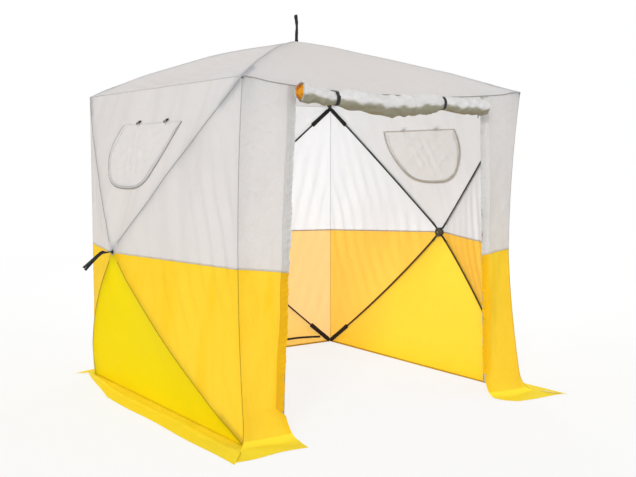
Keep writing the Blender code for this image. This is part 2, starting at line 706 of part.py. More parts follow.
def make_door_zip(side_name, side):
    """A zip tape behind the hem, with its teeth at the free edge, and the slider on them."""
    place, above, below = zip_place(side)
    half = ZIP_THICKNESS / 2
    tape = box("tape", (ZIP_TEETH - ZIP_WIDTH, -half, below), (ZIP_TEETH, half, above))
    add_object(f"{side_name}_door_zip", tape, ZIP_TAPE, place)
    shell = half + SLIDER_CLEAR + SLIDER_WALL
    body = box("slider", (-SLIDER_WALL, -shell, -SLIDER_LENGTH / 2),
               (ZIP_TEETH + SLIDER_CLEAR + SLIDER_WALL, shell, SLIDER_LENGTH / 2))
    slider = add_object(f"{side_name}_zip_slider", body, METAL, place)
    inner = half + SLIDER_CLEAR
    slot = box("slot", (-2 * SLIDER_WALL, -inner, -SLIDER_LENGTH),
               (ZIP_TEETH + SLIDER_CLEAR, inner, SLIDER_LENGTH))
    boolean(slider, add_guide(f"{side_name}_slider_slot", slot, place), "DIFFERENCE")


def between_straps(x):
    """0 at the roll's two straps and outside them, and 1 midway between them, as a sine."""
    left, right = ROLL_STRAPS
    share = min(max((x - left) / (right - left), 0), 1)
    return math.sin(math.pi * share)


def roll_drop(x):
    """How far the rolled door hangs below its straps, at a place along it."""
    left, right = ROLL_STRAPS
    if left < x < right:
        return ROLL_SAG * between_straps(x) ** 2
    strap, end = (left, ROLL_ENDS[0]) if x <= left else (right, ROLL_ENDS[1])
    return ROLL_END_SAG * math.sin(math.pi / 2 * (x - strap) / (end - strap))


def roll_radius(x):
    """The roll is thinner where a strap pulls it in, and loose between the straps."""
    from_strap = min(abs(x - strap) for strap in ROLL_STRAPS)
    pinch = math.exp(-(from_strap / (2 * ROLL_STRAP_WIDTH)) ** 2)
    return ROLL_RADIUS - ROLL_PINCH * pinch + ROLL_BULGE * between_straps(x)


def make_door_roll():
    """The door cloth, rolled up under the roof's front edge and hanging from a short web."""
    beside = 1.5 * ROLL_STRAP_WIDTH
    (left_end, right_end), (left, right) = ROLL_ENDS, ROLL_STRAPS
    at_straps = [strap + step for strap in ROLL_STRAPS for step in (-beside / 3, beside / 3)]
    stations = sorted([*np.linspace(left_end, left - beside, 4), *at_straps,
                       *np.linspace(left + beside, right - beside, 9),
                       *np.linspace(right + beside, right_end, 4)])
    path = [(x, ROLL_Y - ROLL_BULGE * between_straps(x), ROLL_HEIGHT - roll_drop(x))
            for x in stations]
    radii = [roll_radius(x) for x in stations]
    roll = add_object("door_roll", tube_along("door_roll", path, radii, ROLL_SIDES), ROLLED)
    web_back = FRONT_Y - 2 * GAP
    web = box("web", (left_end + DOOR_WEB, web_back - DOOR_WEB, ROLL_HEIGHT - ROLL_SAG),
              (right_end - DOOR_WEB, web_back, EAVE_HEIGHT - GAP))
    boolean(roll, add_guide("door_web", web), "UNION")


def make_roll_strap(name, x):
    """A webbing strap round the front and underside of the roll, open where the web passes."""
    inner = roll_radius(x) / math.cos(math.pi / ROLL_SIDES) + ROLL_STRAP_CLEAR
    outer = inner + ROLL_STRAP_THICKNESS
    turn = np.radians(np.linspace(*ROLL_STRAP_TURN, 12))
    centre = np.array([0, ROLL_Y, ROLL_HEIGHT - roll_drop(x)])
    ring = np.stack([np.zeros_like(turn), np.cos(turn), np.sin(turn)], axis=1)
    front = centre + np.stack([ring * inner, ring * outer])
    front[..., 0] = x - ROLL_STRAP_WIDTH / 2
    back = front + np.array([ROLL_STRAP_WIDTH, 0, 0])
    add_object(name, solid_between(name, front, back), WEBBING)


def make_skirts():
    """Flaps of cloth that lie on the ground round the tent, hinged along the walls' foot."""
    side = WIDTH / 2
    out = side + SKIRT_WIDTH
    clear = SKIRT_CLEAR
    outlines = {
        "left_skirt": ((-out, FRONT_Y), (-side - clear, BACK_Y)),
        "right_skirt": ((side + clear, FRONT_Y), (out, BACK_Y)),
        "back_skirt": ((-out, BACK_Y + clear), (out, BACK_Y + SKIRT_WIDTH)),
        "front_left_skirt": ((-out, FRONT_Y - SKIRT_WIDTH),
                             (-side + FRONT_SKIRT_LENGTH, FRONT_Y - clear)),
        "front_right_skirt": ((side - FRONT_SKIRT_LENGTH, FRONT_Y - SKIRT_WIDTH),
                              (out, FRONT_Y - clear)),
    }
    for name, (low, high) in outlines.items():
        add_object(name, box(name, (*low, 0), (*high, CLOTH)), YELLOW)


def make_base_strap():
    """Webbing along the foot of the back wall, inside, between its two corners."""
    y = BACK_Y - CLOTH - LUG_CLEAR - STRAP_THICKNESS
    low = (-BASE_STRAP_LENGTH / 2, y, BASE_STRAP_HEIGHT)
    high = (BASE_STRAP_LENGTH / 2, y + STRAP_THICKNESS, BASE_STRAP_HEIGHT + BASE_STRAP_WIDTH)
    add_object("back_base_strap", box("back_base_strap", low, high), WEBBING)


def build_tent():
    clear_scene()
    panels = make_panels()
    make_canopy(panels["roof"])
    for name in ("left", "right", "back"):
        upper = make_wall(panels[name])
        if name != "back":
            make_window(panels[name], upper)
    for side_name, side, strap in (("left", -1, ROLL_STRAPS[0]), ("right", 1, ROLL_STRAPS[1])):
        make_jamb(side_name, side)
        make_door_zip(side_name, side)
        make_roll_strap(f"door_roll_strap_{side_name}", strap)
    make_door_roll()
    for panel in panels.values():
        make_poles(panel)
        make_hub(panel)
        make_pull_strap(panel)
    make_skirts()
    make_base_strap()


build_tent()
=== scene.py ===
import math
from itertools import product

import bpy
import numpy as np
from mathutils import Euler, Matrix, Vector
from mathutils.geometry import delaunay_2d_cdt


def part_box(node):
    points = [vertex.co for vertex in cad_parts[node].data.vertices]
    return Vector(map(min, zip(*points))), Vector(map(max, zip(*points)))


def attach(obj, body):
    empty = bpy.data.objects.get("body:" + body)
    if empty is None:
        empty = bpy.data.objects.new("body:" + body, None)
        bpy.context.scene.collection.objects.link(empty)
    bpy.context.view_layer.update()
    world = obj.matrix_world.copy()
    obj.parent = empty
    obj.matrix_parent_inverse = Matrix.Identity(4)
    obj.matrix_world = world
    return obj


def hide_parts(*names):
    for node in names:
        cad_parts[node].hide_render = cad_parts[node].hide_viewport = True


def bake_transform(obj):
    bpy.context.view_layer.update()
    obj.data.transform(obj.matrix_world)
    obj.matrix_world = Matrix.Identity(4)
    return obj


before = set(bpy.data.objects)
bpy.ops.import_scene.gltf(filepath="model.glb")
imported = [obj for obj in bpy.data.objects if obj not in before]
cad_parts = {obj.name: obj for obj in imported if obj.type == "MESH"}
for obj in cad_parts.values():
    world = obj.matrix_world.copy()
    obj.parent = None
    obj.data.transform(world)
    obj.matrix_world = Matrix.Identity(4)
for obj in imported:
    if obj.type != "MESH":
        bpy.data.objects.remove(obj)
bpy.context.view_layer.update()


# Viewpoint
# The camera stands at eye height in front of the tent's left corner, where the photograph was
# taken from. Its place and lens come from a least-squares fit.
CAMERA_PLACE = (-3.0399, -4.6366, 1.3267)
CAMERA_YAW = 35.28
CAMERA_PITCH = -4.876
CAMERA_LENS = 52.4


def placed(name, data):
    """A new object in the scene."""
    made = bpy.data.objects.new(name, data)
    bpy.context.scene.collection.objects.link(made)
    return made


camera = placed("camera", bpy.data.cameras.new("camera"))
camera.data.lens = CAMERA_LENS
camera.data.sensor_width = 36
camera.location = CAMERA_PLACE
camera.rotation_euler = Euler((math.radians(90 + CAMERA_PITCH), 0, math.radians(-CAMERA_YAW)))
bpy.context.scene.camera = camera


# Studio
# A white floor that runs out to a white surround, plain daylight from all sides, a soft lamp over
# the camera's left shoulder and one behind the tent's far corner, which shines through the cloth.
FLOOR_HALF = 30.0
FLOOR_DROP = 0.0015
FLOOR_HEX = "EEEEEC"
FLOOR_GLOW = (0.78, 1.0)
FLOOR_FADE = (2.2, 9.0)
LIGHT_ROUND = 0.92
LIGHT_OVERHEAD = 0.64
SUN_POWER = 1.45
SUN_ANGLE = 14
SUN_TURN = (66, 0, -48)
LAMP_POWER = 410
LAMP_RADIUS = 0.5
LAMP_PLACE = (3.2, 3.6, 0.8)


def linear(hex_colour):
    """Linear red, green, blue and alpha of a six-digit sRGB colour."""
    channels = np.array([int(hex_colour[i:i + 2], 16) for i in (0, 2, 4)]) / 255
    high = ((channels + 0.055) / 1.055) ** 2.4
    return (*np.where(channels <= 0.04045, channels / 12.92, high).tolist(), 1.0)


def add_node(owner, kind, sockets=(), want=0, **settings):
    """Adds one node and gives one of its outputs.

    A socket takes a value, a hex colour, or the output of another node.
    """
    made = owner.node_tree.nodes.new("ShaderNode" + kind)
    for name, value in settings.items():
        setattr(made, name, value)
    for name, value in dict(sockets).items():
        if isinstance(value, bpy.types.NodeSocket):
            owner.node_tree.links.new(value, made.inputs[name])
        else:
            made.inputs[name].default_value = linear(value) if isinstance(value, str) else value
    return made.outputs[want] if len(made.outputs) else None


def emptied(owner):
    """A material or world with nothing in its node tree."""
    owner.use_nodes = True
    owner.node_tree.nodes.clear()
    return owner


def new_material(name):
    """A material with nothing in its node tree."""
    return emptied(bpy.data.materials.new(name))


def seen_directly(owner):
    """1 where a ray comes from the camera, a gloss or a clear film, and 0 for plain light."""
    gloss, clear, eye = (add_node(owner, "LightPath", want=f"Is {ray} Ray")
                         for ray in ("Glossy", "Transmission", "Camera"))
    bent = add_node(owner, "Math", {0: gloss, 1: clear}, operation="MAXIMUM")
    return add_node(owner, "Math", {0: eye, 1: bent}, operation="MAXIMUM")


def floor_material(name):
    """Matt white paper. The eye sees an even white, which glows more far from the tent."""
    made = new_material(name)
    place = add_node(made, "TexCoord", want="Object")
    distance = add_node(made, "VectorMath", {0: place}, "Value", operation="LENGTH")
    glow = add_node(made, "MapRange", {"Value": distance, "From Min": FLOOR_FADE[0],
                                       "From Max": FLOOR_FADE[1], "To Min": FLOOR_GLOW[0],
                                       "To Max": FLOOR_GLOW[1]})
    share = add_node(made, "Math", {0: seen_directly(made), 1: glow}, operation="MULTIPLY")
    matt = add_node(made, "BsdfPrincipled", {"Base Color": FLOOR_HEX, "Roughness": 0.9})
    white = add_node(made, "Emission", {"Color": "FFFFFF", "Strength": 1.0})
    both = add_node(made, "MixShader", {0: share, 1: matt, 2: white})
    add_node(made, "OutputMaterial", {"Surface": both})
    return made


floor_mesh = bpy.data.meshes.new("floor")
floor_mesh.from_pydata([(x * FLOOR_HALF, y * FLOOR_HALF, -FLOOR_DROP)
                        for x, y in ((-1, -1), (1, -1), (1, 1), (-1, 1))], [], [(0, 1, 2, 3)])
floor = placed("floor", floor_mesh)
floor.data.materials.append(floor_material("matt_studio_floor"))

surround = emptied(bpy.data.worlds.new("surround"))
bpy.context.scene.world = surround
way_up = add_node(surround, "SeparateXYZ",
                  {"Vector": add_node(surround, "TexCoord", want="Generated")}, "Z")
daylight = add_node(surround, "MapRange", {"Value": way_up, "To Min": LIGHT_ROUND,
                                           "To Max": LIGHT_OVERHEAD})
strength = add_node(surround, "Mix", {0: seen_directly(surround), 2: daylight, 3: 1.0},
                    data_type="FLOAT")
sky = add_node(surround, "Background", {"Color": "FFFFFF", "Strength": strength})
add_node(surround, "OutputWorld", {"Surface": sky})

sun = placed("key_lamp", bpy.data.lights.new("key_lamp", "SUN"))
sun.data.energy = SUN_POWER
sun.data.angle = math.radians(SUN_ANGLE)
sun.rotation_euler = [math.radians(angle) for angle in SUN_TURN]
lamp = placed("back_lamp", bpy.data.lights.new("back_lamp", "POINT"))
lamp.data.energy = LAMP_POWER
lamp.data.shadow_soft_size = LAMP_RADIUS
lamp.location = LAMP_PLACE
lamp.visible_camera = False
bpy.context.scene.view_settings.view_transform = "Standard"


# Roof
# One pyramid of grey polyester, coated with polyurethane on its inner face, cut as four triangles
# and sewn along the ridges. Four bowed rods press it out from below, from the hub to the corners.
GREY_HEX = "DADADD"
GREY_GLOW_HEX = "F4F6FA"
ROOF_SHADED_HEX = "D6D6DA"
CLOTH_GLOW = 0.46
CLOTH_ROUGH = 0.58
WAVE_REPEAT = math.pi / 10  # metres between two bands of a wave texture at a scale of 1
WEAVE_STEP = 0.003
CLOUD_SCALE = 3.2
FOLD_WIDTH = 0.035
FOLD_SHADE_STRETCH = (7.0, 1.1, 1.0)
CRINKLE_SIZE = 0.045
FOLD_SIZE = 0.30
SHEET_STEP = 0.012
PLATEAU = 0.0345
EDGE_DRAW = {-1: 0.085, 1: 0.055}
EDGE_DIP = {-1: 0.020, 1: 0.012}
WIDTH = 1.80
HALF_WIDTH = WIDTH / 2
EAVE = 1.70
MIDDLE_Y = sum(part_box("canopy")[i][1] for i in (0, 1)) / 2
FRONT_Y = MIDDLE_Y - HALF_WIDTH
BACK_Y = MIDDLE_Y + HALF_WIDTH
HOLE_RADIUS = 0.0115
HUB_SHARE = 0.06
FAN_DEPTH = 0.0022
FAN_REACH = 0.30
FAN_START = 0.06
FAN_LINES = 15
RIPPLE_DEPTH = 0.0080
RIPPLE_STEP = 0.088
SLACK_DEPTH = 0.0016
SLACK_LENGTHS = np.linspace(0.14, 0.50, 9)
EDGE_FADE = 0.05
SPLAY = 0.030
SPLAY_HEIGHT = 0.80
EAVE_SAG = 0.050
SAG_POWER = 2.4
SAG_REACH = 0.45
SAG_CORNER = 0.14


def panel(hub, centre, across, up, normal, half_up, pop, seed, bows, side=0):
    """The facts of one pyramid of cloth: its plane, its half sizes and how far its hub stands out.

    bows are the rods' bows: low and left, low and right, high and left, high and right.
    """
    centre, across, up, normal = (np.array(axis, float) for axis in (centre, across, up, normal))
    return {"hub": hub, "centre": centre, "across": across, "up": up, "normal": normal,
            "half": np.array((HALF_WIDTH, half_up)), "pop": pop, "seed": seed, "side": side,
            "bows": np.array(bows)}


HALF_WALL = EAVE / 2 - 0.0002
PANELS = {
    "roof": panel("roof_hub", (0, MIDDLE_Y, EAVE + 0.002), (1, 0, 0), (0, 1, 0), (0, 0, 1),
                  HALF_WIDTH, 0.30, 3, (0.032, 0.014, 0.046, 0.030)),
    "left": panel("left_hub", (-HALF_WIDTH, MIDDLE_Y, HALF_WALL), (0, 1, 0), (0, 0, 1),
                  (-1, 0, 0), HALF_WALL, 0.25, 5, (0.047, 0.050, 0.008, 0.014), side=-1),
    "right": panel("right_hub", (HALF_WIDTH, MIDDLE_Y, HALF_WALL), (0, 1, 0), (0, 0, 1),
                   (1, 0, 0), HALF_WALL, 0.25, 7, (0.045, 0.043, 0.009, 0.008), side=1),
    "back": panel("back_hub", (0, BACK_Y, HALF_WALL), (1, 0, 0), (0, 0, 1), (0, 1, 0),
                  HALF_WALL, 0.25, 11, (0.045, 0.045, 0.010, 0.010)),
}


def shares(cloth, flat):
    """Each point's share of the way from the hub to the edge, and how near it is to a rod."""
    a, u = np.abs(flat / cloth["half"]).T
    share = np.maximum(a, u)
    return share, np.minimum(a, u) / np.maximum(share, 1e-9)


def height(cloth, flat):
    """The cloth falls evenly from the hub to the edge, and a parabola lifts it along the rods.

    With s the share still to go, the height is pop * s + bow * 4 s (1 - s) * beside squared.
    """
    share, beside = shares(cloth, flat)
    bow = cloth["bows"][2 * (flat[:, 1] > 0) + (flat[:, 0] > 0)]
    plateau = PLATEAU / cloth["half"].min()
    s = (1 - np.maximum(share, plateau)) / (1 - plateau)
    return cloth["pop"] * s + bow * 4 * s * (1 - s) * beside ** 2


def splay(side, y, z):
    """How far the right wall's front foot is pegged out, the same way sideways and forwards.

    It is full at the corner, and falls by powers of the distance up and of the distance back.
    """
    if side <= 0:
        return np.zeros(np.broadcast(y, z).shape)
    low = np.clip(1 - np.maximum(z, 0) / SPLAY_HEIGHT, 0, 1) ** 1.1
    return SPLAY * low * np.clip(1 - (y - FRONT_Y) / SPLAY_HEIGHT, 0, 1) ** 2


def pegged(cloth, flat):
    """The same for points on a panel."""
    return splay(cloth["side"], flat[:, 0] + MIDDLE_Y, flat[:, 1] + HALF_WALL)


def creases(cloth, flat):
    """Small folds, in metres out of the cloth, which fade to nothing at the edges.

    Cosines of the angle round each corner fan out from it and die with the square of the
    distance, long ripples run up the cloth beside the hub, and a few seeded waves of 0.14 to
    0.5 m are its slack.
    """
    a, u = np.abs(flat / cloth["half"]).T
    x, y = flat.T
    seed = cloth["seed"]
    chance = np.random.default_rng(seed)
    out = np.zeros(len(flat))
    for corner in product((-1, 1), (-1, 1)):
        dx, dy = (corner * cloth["half"] - flat).T
        far = np.hypot(dx, dy)
        turn = np.arctan2(dy * corner[1], dx * corner[0])
        reach = np.exp(-(far / FAN_REACH) ** 2) * (1 - np.exp(-(far / FAN_START) ** 2))
        out += FAN_DEPTH * reach * np.cos(FAN_LINES * turn + chance.uniform(0, 6))
    beside_hub = np.clip((a - u) / 0.25, 0, 1)
    sway = 0.9 * np.sin(y * 5.5 + seed) + 0.4 * np.sin(y * 13) - 18 * y
    patchy = 0.55 + 0.45 * np.sin(x * 8.3 + seed) * np.sin(y * 6.1 + 2 * seed)
    out += RIPPLE_DEPTH * patchy * beside_hub * np.sin(2 * np.pi * x / RIPPLE_STEP + sway)
    for length in SLACK_LENGTHS:
        way = chance.uniform(0, np.pi)
        wave = 2 * np.pi / length * (x * np.cos(way) + y * np.sin(way))
        out += SLACK_DEPTH * length * np.sin(wave + chance.uniform(0, 6))
    return out * np.clip((1 - np.maximum(a, u)) / EDGE_FADE, 0, 1)


def sag_shape(x):
    """The hang across an eave: 1 less the power 2.4 of the place across."""
    return EAVE_SAG * (1 - np.minimum(np.abs(x) / HALF_WIDTH, 1) ** SAG_POWER)


def eave_sag(x):
    """How far the front eave hangs under the rolled door, fading evenly to nothing at its ends."""
    return sag_shape(x) * np.clip((1 - np.abs(x) / HALF_WIDTH) / SAG_CORNER, 0, 1)


def front_sag(flat):
    """The same sag on the roof's front triangle, which fades by a square away from the eave."""
    across, forward = np.abs(flat[:, 0]) / HALF_WIDTH, -flat[:, 1] / HALF_WIDTH
    beside_ridge = np.clip((forward - across) / SAG_CORNER, 0, 1)
    from_front = np.clip((1 - forward) * HALF_WIDTH / SAG_REACH, 0, 1)
    return sag_shape(flat[:, 0]) * beside_ridge * (1 - from_front) ** 2


def on_cloth(cloth, flat, lift=0.0):
    """Points on a panel's cloth, for points laid out flat in its plane, in metres from its middle.

    A side wall's front edge hangs free between two corners, so that it is drawn in towards the
    hub by a share that is full at mid-height.
    """
    flat = np.asarray(flat, float)
    out = height(cloth, flat) + creases(cloth, flat) + lift
    along = flat[:, 0].copy()
    if cloth["side"]:
        share, beside = shares(cloth, flat)
        a, u = (flat / cloth["half"]).T
        drawn = np.where(-a >= np.abs(u), share * (1 - beside ** 2), 0)
        along += EDGE_DRAW[cloth["side"]] * drawn - pegged(cloth, flat)
        out = out - EDGE_DIP[cloth["side"]] * drawn + pegged(cloth, flat)
    elif cloth["hub"] == "roof_hub":
        out = out - front_sag(flat)
    return (cloth["centre"] + along[:, None] * cloth["across"]
            + flat[:, 1:] * cloth["up"] + out[:, None] * cloth["normal"])


def along_lines(lines, step):
    """The straight lines between some points, with a point at about every step."""
    parts = [np.asarray(lines[:1], float)]
    for start, end in zip(lines[:-1], lines[1:]):
        start, end = np.asarray(start, float), np.asarray(end, float)
        count = max(1, round(float(np.linalg.norm(end - start)) / step))
        parts.append(start + (end - start) * np.linspace(0, 1, count + 1)[1:, None])
    return np.concatenate(parts)


def inside(points, loop):
    """Which points lie in a loop: a ray to the right crosses it an odd number of times."""
    found = np.zeros(len(points), bool)
    x, y = points.T
    for (x0, y0), (x1, y1) in zip(loop, np.roll(loop, -1, axis=0)):
        if y0 != y1:
            crossing = x0 + (y - y0) * (x1 - x0) / (y1 - y0)
            found ^= ((y0 > y) != (y1 > y)) & (x < crossing)
    return found


def near(points, line, reach):
    """Which points lie within reach of the points of a line."""
    found = np.zeros(len(points), bool)
    for spot in line:
        found |= ((points - spot) ** 2).sum(axis=1) < reach ** 2
    return found


def in_sheet(points, loops):
    """Which points lie in the first loop and in none of the others."""
    kept = inside(points, loops[0])
    for hole in loops[1:]:
        kept &= ~inside(points, hole)
    return kept


def flat_sheet(outline, holes=(), ridges=(), step=SHEET_STEP):
    """Triangles that fill an outline less its holes, with edges along the ridges.

    A square grid of points is kept half a step clear of the lines, and a constrained Delaunay
    triangulation joins the grid and the lines.
    """
    loops = [along_lines([*loop, loop[0]], step)[:-1] for loop in (outline, *holes)]
    ridges = [along_lines(line, step) for line in ridges]
    low, high = loops[0].min(axis=0), loops[0].max(axis=0)
    counts = np.ceil((high - low) / step).astype(int) + 1
    grid = np.stack(np.meshgrid(*(np.linspace(low[i], high[i], counts[i]) for i in (0, 1))),
                    axis=-1).reshape(-1, 2)
    grid = grid[in_sheet(grid, loops)]
    for line in loops + ridges:
        grid = grid[~near(grid, line, 0.55 * step)]
    edges, start = [], 0
    for number, line in enumerate(loops + ridges):
        ring = np.arange(start, start + len(line))
        last = len(line) if number < len(loops) else len(line) - 1
        edges += list(zip(ring[:last].tolist(), np.roll(ring, -1).tolist()))
        start += len(line)
    points = np.concatenate([*loops, *ridges, grid])
    found = delaunay_2d_cdt([Vector(p) for p in points.tolist()], edges, [], 0, 1e-7, False)
    points, faces = np.array([tuple(p) for p in found[0]]), np.array(found[2])
    faces = faces[in_sheet(points[faces].mean(axis=1), loops)]
    used, faces = np.unique(faces, return_inverse=True)
    return points[used], faces.reshape(-1, 3)


def add_piece(name, points, faces, laid, finish):
    """An object from points and faces, smooth all over.

    laid has the place on the cut cloth, in metres, of every point or of every face's corner.
    """
    mesh = bpy.data.meshes.new(name)
    faces = [list(face) for face in faces]
    mesh.from_pydata(np.asarray(points).tolist(), [], faces)
    laid = laid[np.concatenate(faces)] if len(laid) == len(points) else laid
    layer = mesh.uv_layers.new(name="laid_flat")
    layer.data.foreach_set("uv", np.asarray(laid, np.float32).ravel())
    mesh.materials.append(finish)
    mesh.shade_smooth()
    return placed(name, mesh)


def laid_over(name, cloth, outline, finish, holes=(), ridges=(), lift=0.0, step=SHEET_STEP):
    """A sheet laid over a panel, facing out, and its points laid flat."""
    flat, faces = flat_sheet(outline, holes, ridges, step)
    turned_in = np.dot(np.cross(cloth["across"], cloth["up"]), cloth["normal"]) < 0
    faces = faces[:, ::-1] if turned_in else faces
    lift = lift(flat) if callable(lift) else lift
    made = add_piece(name, on_cloth(cloth, flat, lift), faces.tolist(), flat + cloth["half"],
                     finish)
    return made, flat


def move_with_hub(made):
    """Bakes a piece's transform into its points.
    """
    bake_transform(made)
    return made


def panel_sheet(name, cloth, *shape, **more):
    """A sheet laid over a panel."""
    made, flat = laid_over(name, cloth, *shape, **more)
    return move_with_hub(made)


def fitted(made, slot, body=None, *nodes):
    """Attaches a piece to the body it rides and hides the CAD nodes it stands for. The slot is not
    used.
    """
    if body:
        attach(made, body)
    if nodes:
        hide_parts(*nodes)
    return made


def surfaced(owner, sockets, glow=0.0, glow_colour=None):
    """Ends a material: a plain surface, of which a share lets light shine through."""
    shown = add_node(owner, "BsdfPrincipled", sockets)
    if glow:
        through = add_node(owner, "BsdfTranslucent",
                           {"Color": glow_colour, "Normal": sockets["Normal"]})
        shown = add_node(owner, "MixShader", {0: glow, 1: shown, 2: through})
    add_node(owner, "OutputMaterial", {"Surface": shown})
    return owner


def cloth_material(name, colour, glow_colour, glow=CLOTH_GLOW, crinkle=0.006, gloss=0.12,
                   cut_colour_and_facet_shade=None, inner_coat_and_backlight=None, painted_under_shade_colour=None, fold_shade_colour=None):
    """Coated plain-weave polyester.

    The eye sees an even, slightly cool matt surface, soft crinkles a few centimetres across,
    upright darker streaks painted on as the shade of slack folds, pressed folds where it was
    packed, and light that shines through it. The weave is drawn at 3 mm, ten times too coarse,
    so that it shows.
    """
    made = new_material(name)
    laid = add_node(made, "UVMap", uv_map="laid_flat")
    place = add_node(made, "TexCoord", want="Object")
    soft = add_node(made, "TexNoise", {"Vector": place, "Scale": CLOUD_SCALE, "Detail": 3.0,
                                       "Roughness": 0.55})
    tone = colour
    # A second tone where the piece is marked: on the door its real yellow part, on the walls and
    # jambs a painted shade.
    if cut_colour_and_facet_shade:
        cut_and_facet_shade = add_node(made, "Attribute", want="Fac", attribute_name="cut_and_facet_shade")
        tone = add_node(made, "Mix", {0: cut_and_facet_shade, 6: tone, 7: cut_colour_and_facet_shade}, 2, data_type="RGBA")
    # Upright darker streaks are painted shade, standing for the shade in slack folds.
    if fold_shade_colour:
        drawn_out = add_node(made, "Mapping", {"Vector": laid, "Scale": FOLD_SHADE_STRETCH})
        streaks = add_node(made, "TexNoise", {"Vector": drawn_out, "Scale": 1.0, "Detail": 3.0,
                                              "Distortion": 0.8})
        painted_fold_shade = add_node(made, "MapRange", {"Value": streaks, "From Min": 0.44,
                                             "From Max": 0.68, "To Max": 0.8})
        if cut_colour_and_facet_shade:
            painted_fold_shade = add_node(made, "Math", {0: painted_fold_shade, 1: cut_and_facet_shade}, operation="MULTIPLY")
        tone = add_node(made, "Mix", {0: painted_fold_shade, 6: tone, 7: fold_shade_colour}, 2, data_type="RGBA")
    # An olive grey painted shade on the marked underside of the rolled door.
    if painted_under_shade_colour:
        under = add_node(made, "Attribute", want="Fac", attribute_name="under")
        tone = add_node(made, "Mix", {0: under, 6: tone, 7: painted_under_shade_colour}, 2, data_type="RGBA")
    worn = add_node(made, "MapRange", {"Value": soft, "From Min": 0.3, "From Max": 0.7,
                                       "To Min": 0.955, "To Max": 1.0})
    painted = add_node(made, "HueSaturation", {"Color": tone, "Value": worn})
    # On the inner face the light through the cloth takes a paler colour: partly the polyurethane
    # coat there, partly painted light for the bright glow of the cloth seen from inside.
    if inner_coat_and_backlight:
        inner_face = add_node(made, "NewGeometry", want="Backfacing")
        glow_colour = add_node(made, "Mix", {0: inner_face, 6: glow_colour, 7: inner_coat_and_backlight}, 2,
                               data_type="RGBA")
    crinkles = add_node(made, "TexNoise", {"Vector": laid, "Scale": 1 / CRINKLE_SIZE,
                                           "Detail": 4.0, "Roughness": 0.62, "Distortion": 0.6})
    folds = add_node(made, "TexVoronoi", {"Vector": laid, "Scale": 1 / FOLD_SIZE}, "Distance",
                     feature="DISTANCE_TO_EDGE")
    fold = add_node(made, "MapRange", {"Value": folds, "From Min": 0.0, "From Max": FOLD_WIDTH,
                                       "To Min": 1.0, "To Max": 0.0})
    warp, weft = (add_node(made, "TexWave", {"Vector": laid, "Scale": WAVE_REPEAT / WEAVE_STEP},
                           "Fac", bands_direction=way) for way in "XY")
    weave = add_node(made, "Math", {0: warp, 1: weft}, operation="MULTIPLY")
    relief = add_node(made, "Bump", {"Height": crinkles, "Distance": crinkle, "Strength": 0.5})
    relief = add_node(made, "Bump", {"Height": fold, "Distance": 0.0006, "Strength": 0.35,
                                     "Normal": relief}, invert=True)
    relief = add_node(made, "Bump", {"Height": weave, "Distance": 0.0002, "Strength": 0.3,
                                     "Normal": relief})
    rough = add_node(made, "MapRange", {"Value": soft, "To Min": CLOTH_ROUGH - 0.08,
                                        "To Max": CLOTH_ROUGH + 0.08})
    return surfaced(made, {"Base Color": painted, "Roughness": rough,
                           "Specular IOR Level": gloss, "Normal": relief}, glow, glow_colour)


GREY_CLOTH = cloth_material("coated_polyester_grey", GREY_HEX, GREY_GLOW_HEX,
                            fold_shade_colour="CBCBCE")
# The roof is the walls' cloth with a slightly darker base colour: painted shade that takes down the
# extra light it gets from above.
ROOF_CLOTH = cloth_material("coated_polyester_grey_roof", ROOF_SHADED_HEX, GREY_GLOW_HEX, glow=0.38,
                            gloss=0.0)
round_hole = [(HOLE_RADIUS * math.cos(t), HOLE_RADIUS * math.sin(t))
              for t in np.linspace(0, 2 * math.pi, 17)[:-1]]


def ridges_of(cloth, low=-1.0, high=1.0):
    """The four lines from beside the hub to the corners, between two heights as shares."""
    lines = []
    for ways in product((-1, 1), (-1, 1)):
        end = high if ways[1] > 0 else -low
        if end > HUB_SHARE:
            lines.append([(ways[0] * share * cloth["half"][0], ways[1] * share * cloth["half"][1])
                          for share in (HUB_SHARE, end)])
    return lines


canopy = panel_sheet("roof_cloth", PANELS["roof"],
                     HALF_WIDTH * np.array([(-1, -1), (1, -1), (1, 1), (-1, 1)]), ROOF_CLOTH,
                     [round_hole], ridges_of(PANELS["roof"]))
fitted(canopy, "grey_cloth", None, "canopy")


# Walls
# Three walls, each a grey cloth above a belt seam and a yellow cloth below it. Every wall is four
# triangles sewn along the rods' lines. Its yellow triangles are painted lemon below and above the
# hub and amber beside it: painted light and shade for triangles that face the light differently.
# The yellow of the walls is painted in two tones, lemon as painted light and amber as painted shade.
SHADED_FACET_YELLOW_HEX = "FFD846"
LIT_FACET_LEMON_HEX = "FFF000"
YELLOW_GLOW_HEX = "FFE420"
# The yellow's inner face glows paler: partly its coat, partly painted light.
YELLOW_COAT_AND_BACKLIGHT_HEX = "FFC25C"
BACK_WALL_BACKLIT_HEX = "FFCE9C"
BELT = 0.82
BELT_LEVEL = BELT - HALF_WALL
BELT_RISE = {"left": 0.030, "right": 0.030, "back": 0.0}
WINDOW_TOP = 1.512
WINDOW_HEIGHT = 0.326
WINDOW_HALF = 0.332
WINDOW_LEAN = {"left": (-0.105, 0.025), "right": (0.028, 0.0)}
LEAN_POWER = {"left": 3, "right": 1}
FACET_BLUR = 0.02
YELLOW_CLOTH = cloth_material("coated_polyester_yellow", LIT_FACET_LEMON_HEX, YELLOW_GLOW_HEX, gloss=0.05,
                              cut_colour_and_facet_shade=SHADED_FACET_YELLOW_HEX, inner_coat_and_backlight=YELLOW_COAT_AND_BACKLIGHT_HEX,
                              fold_shade_colour="FFC51E")
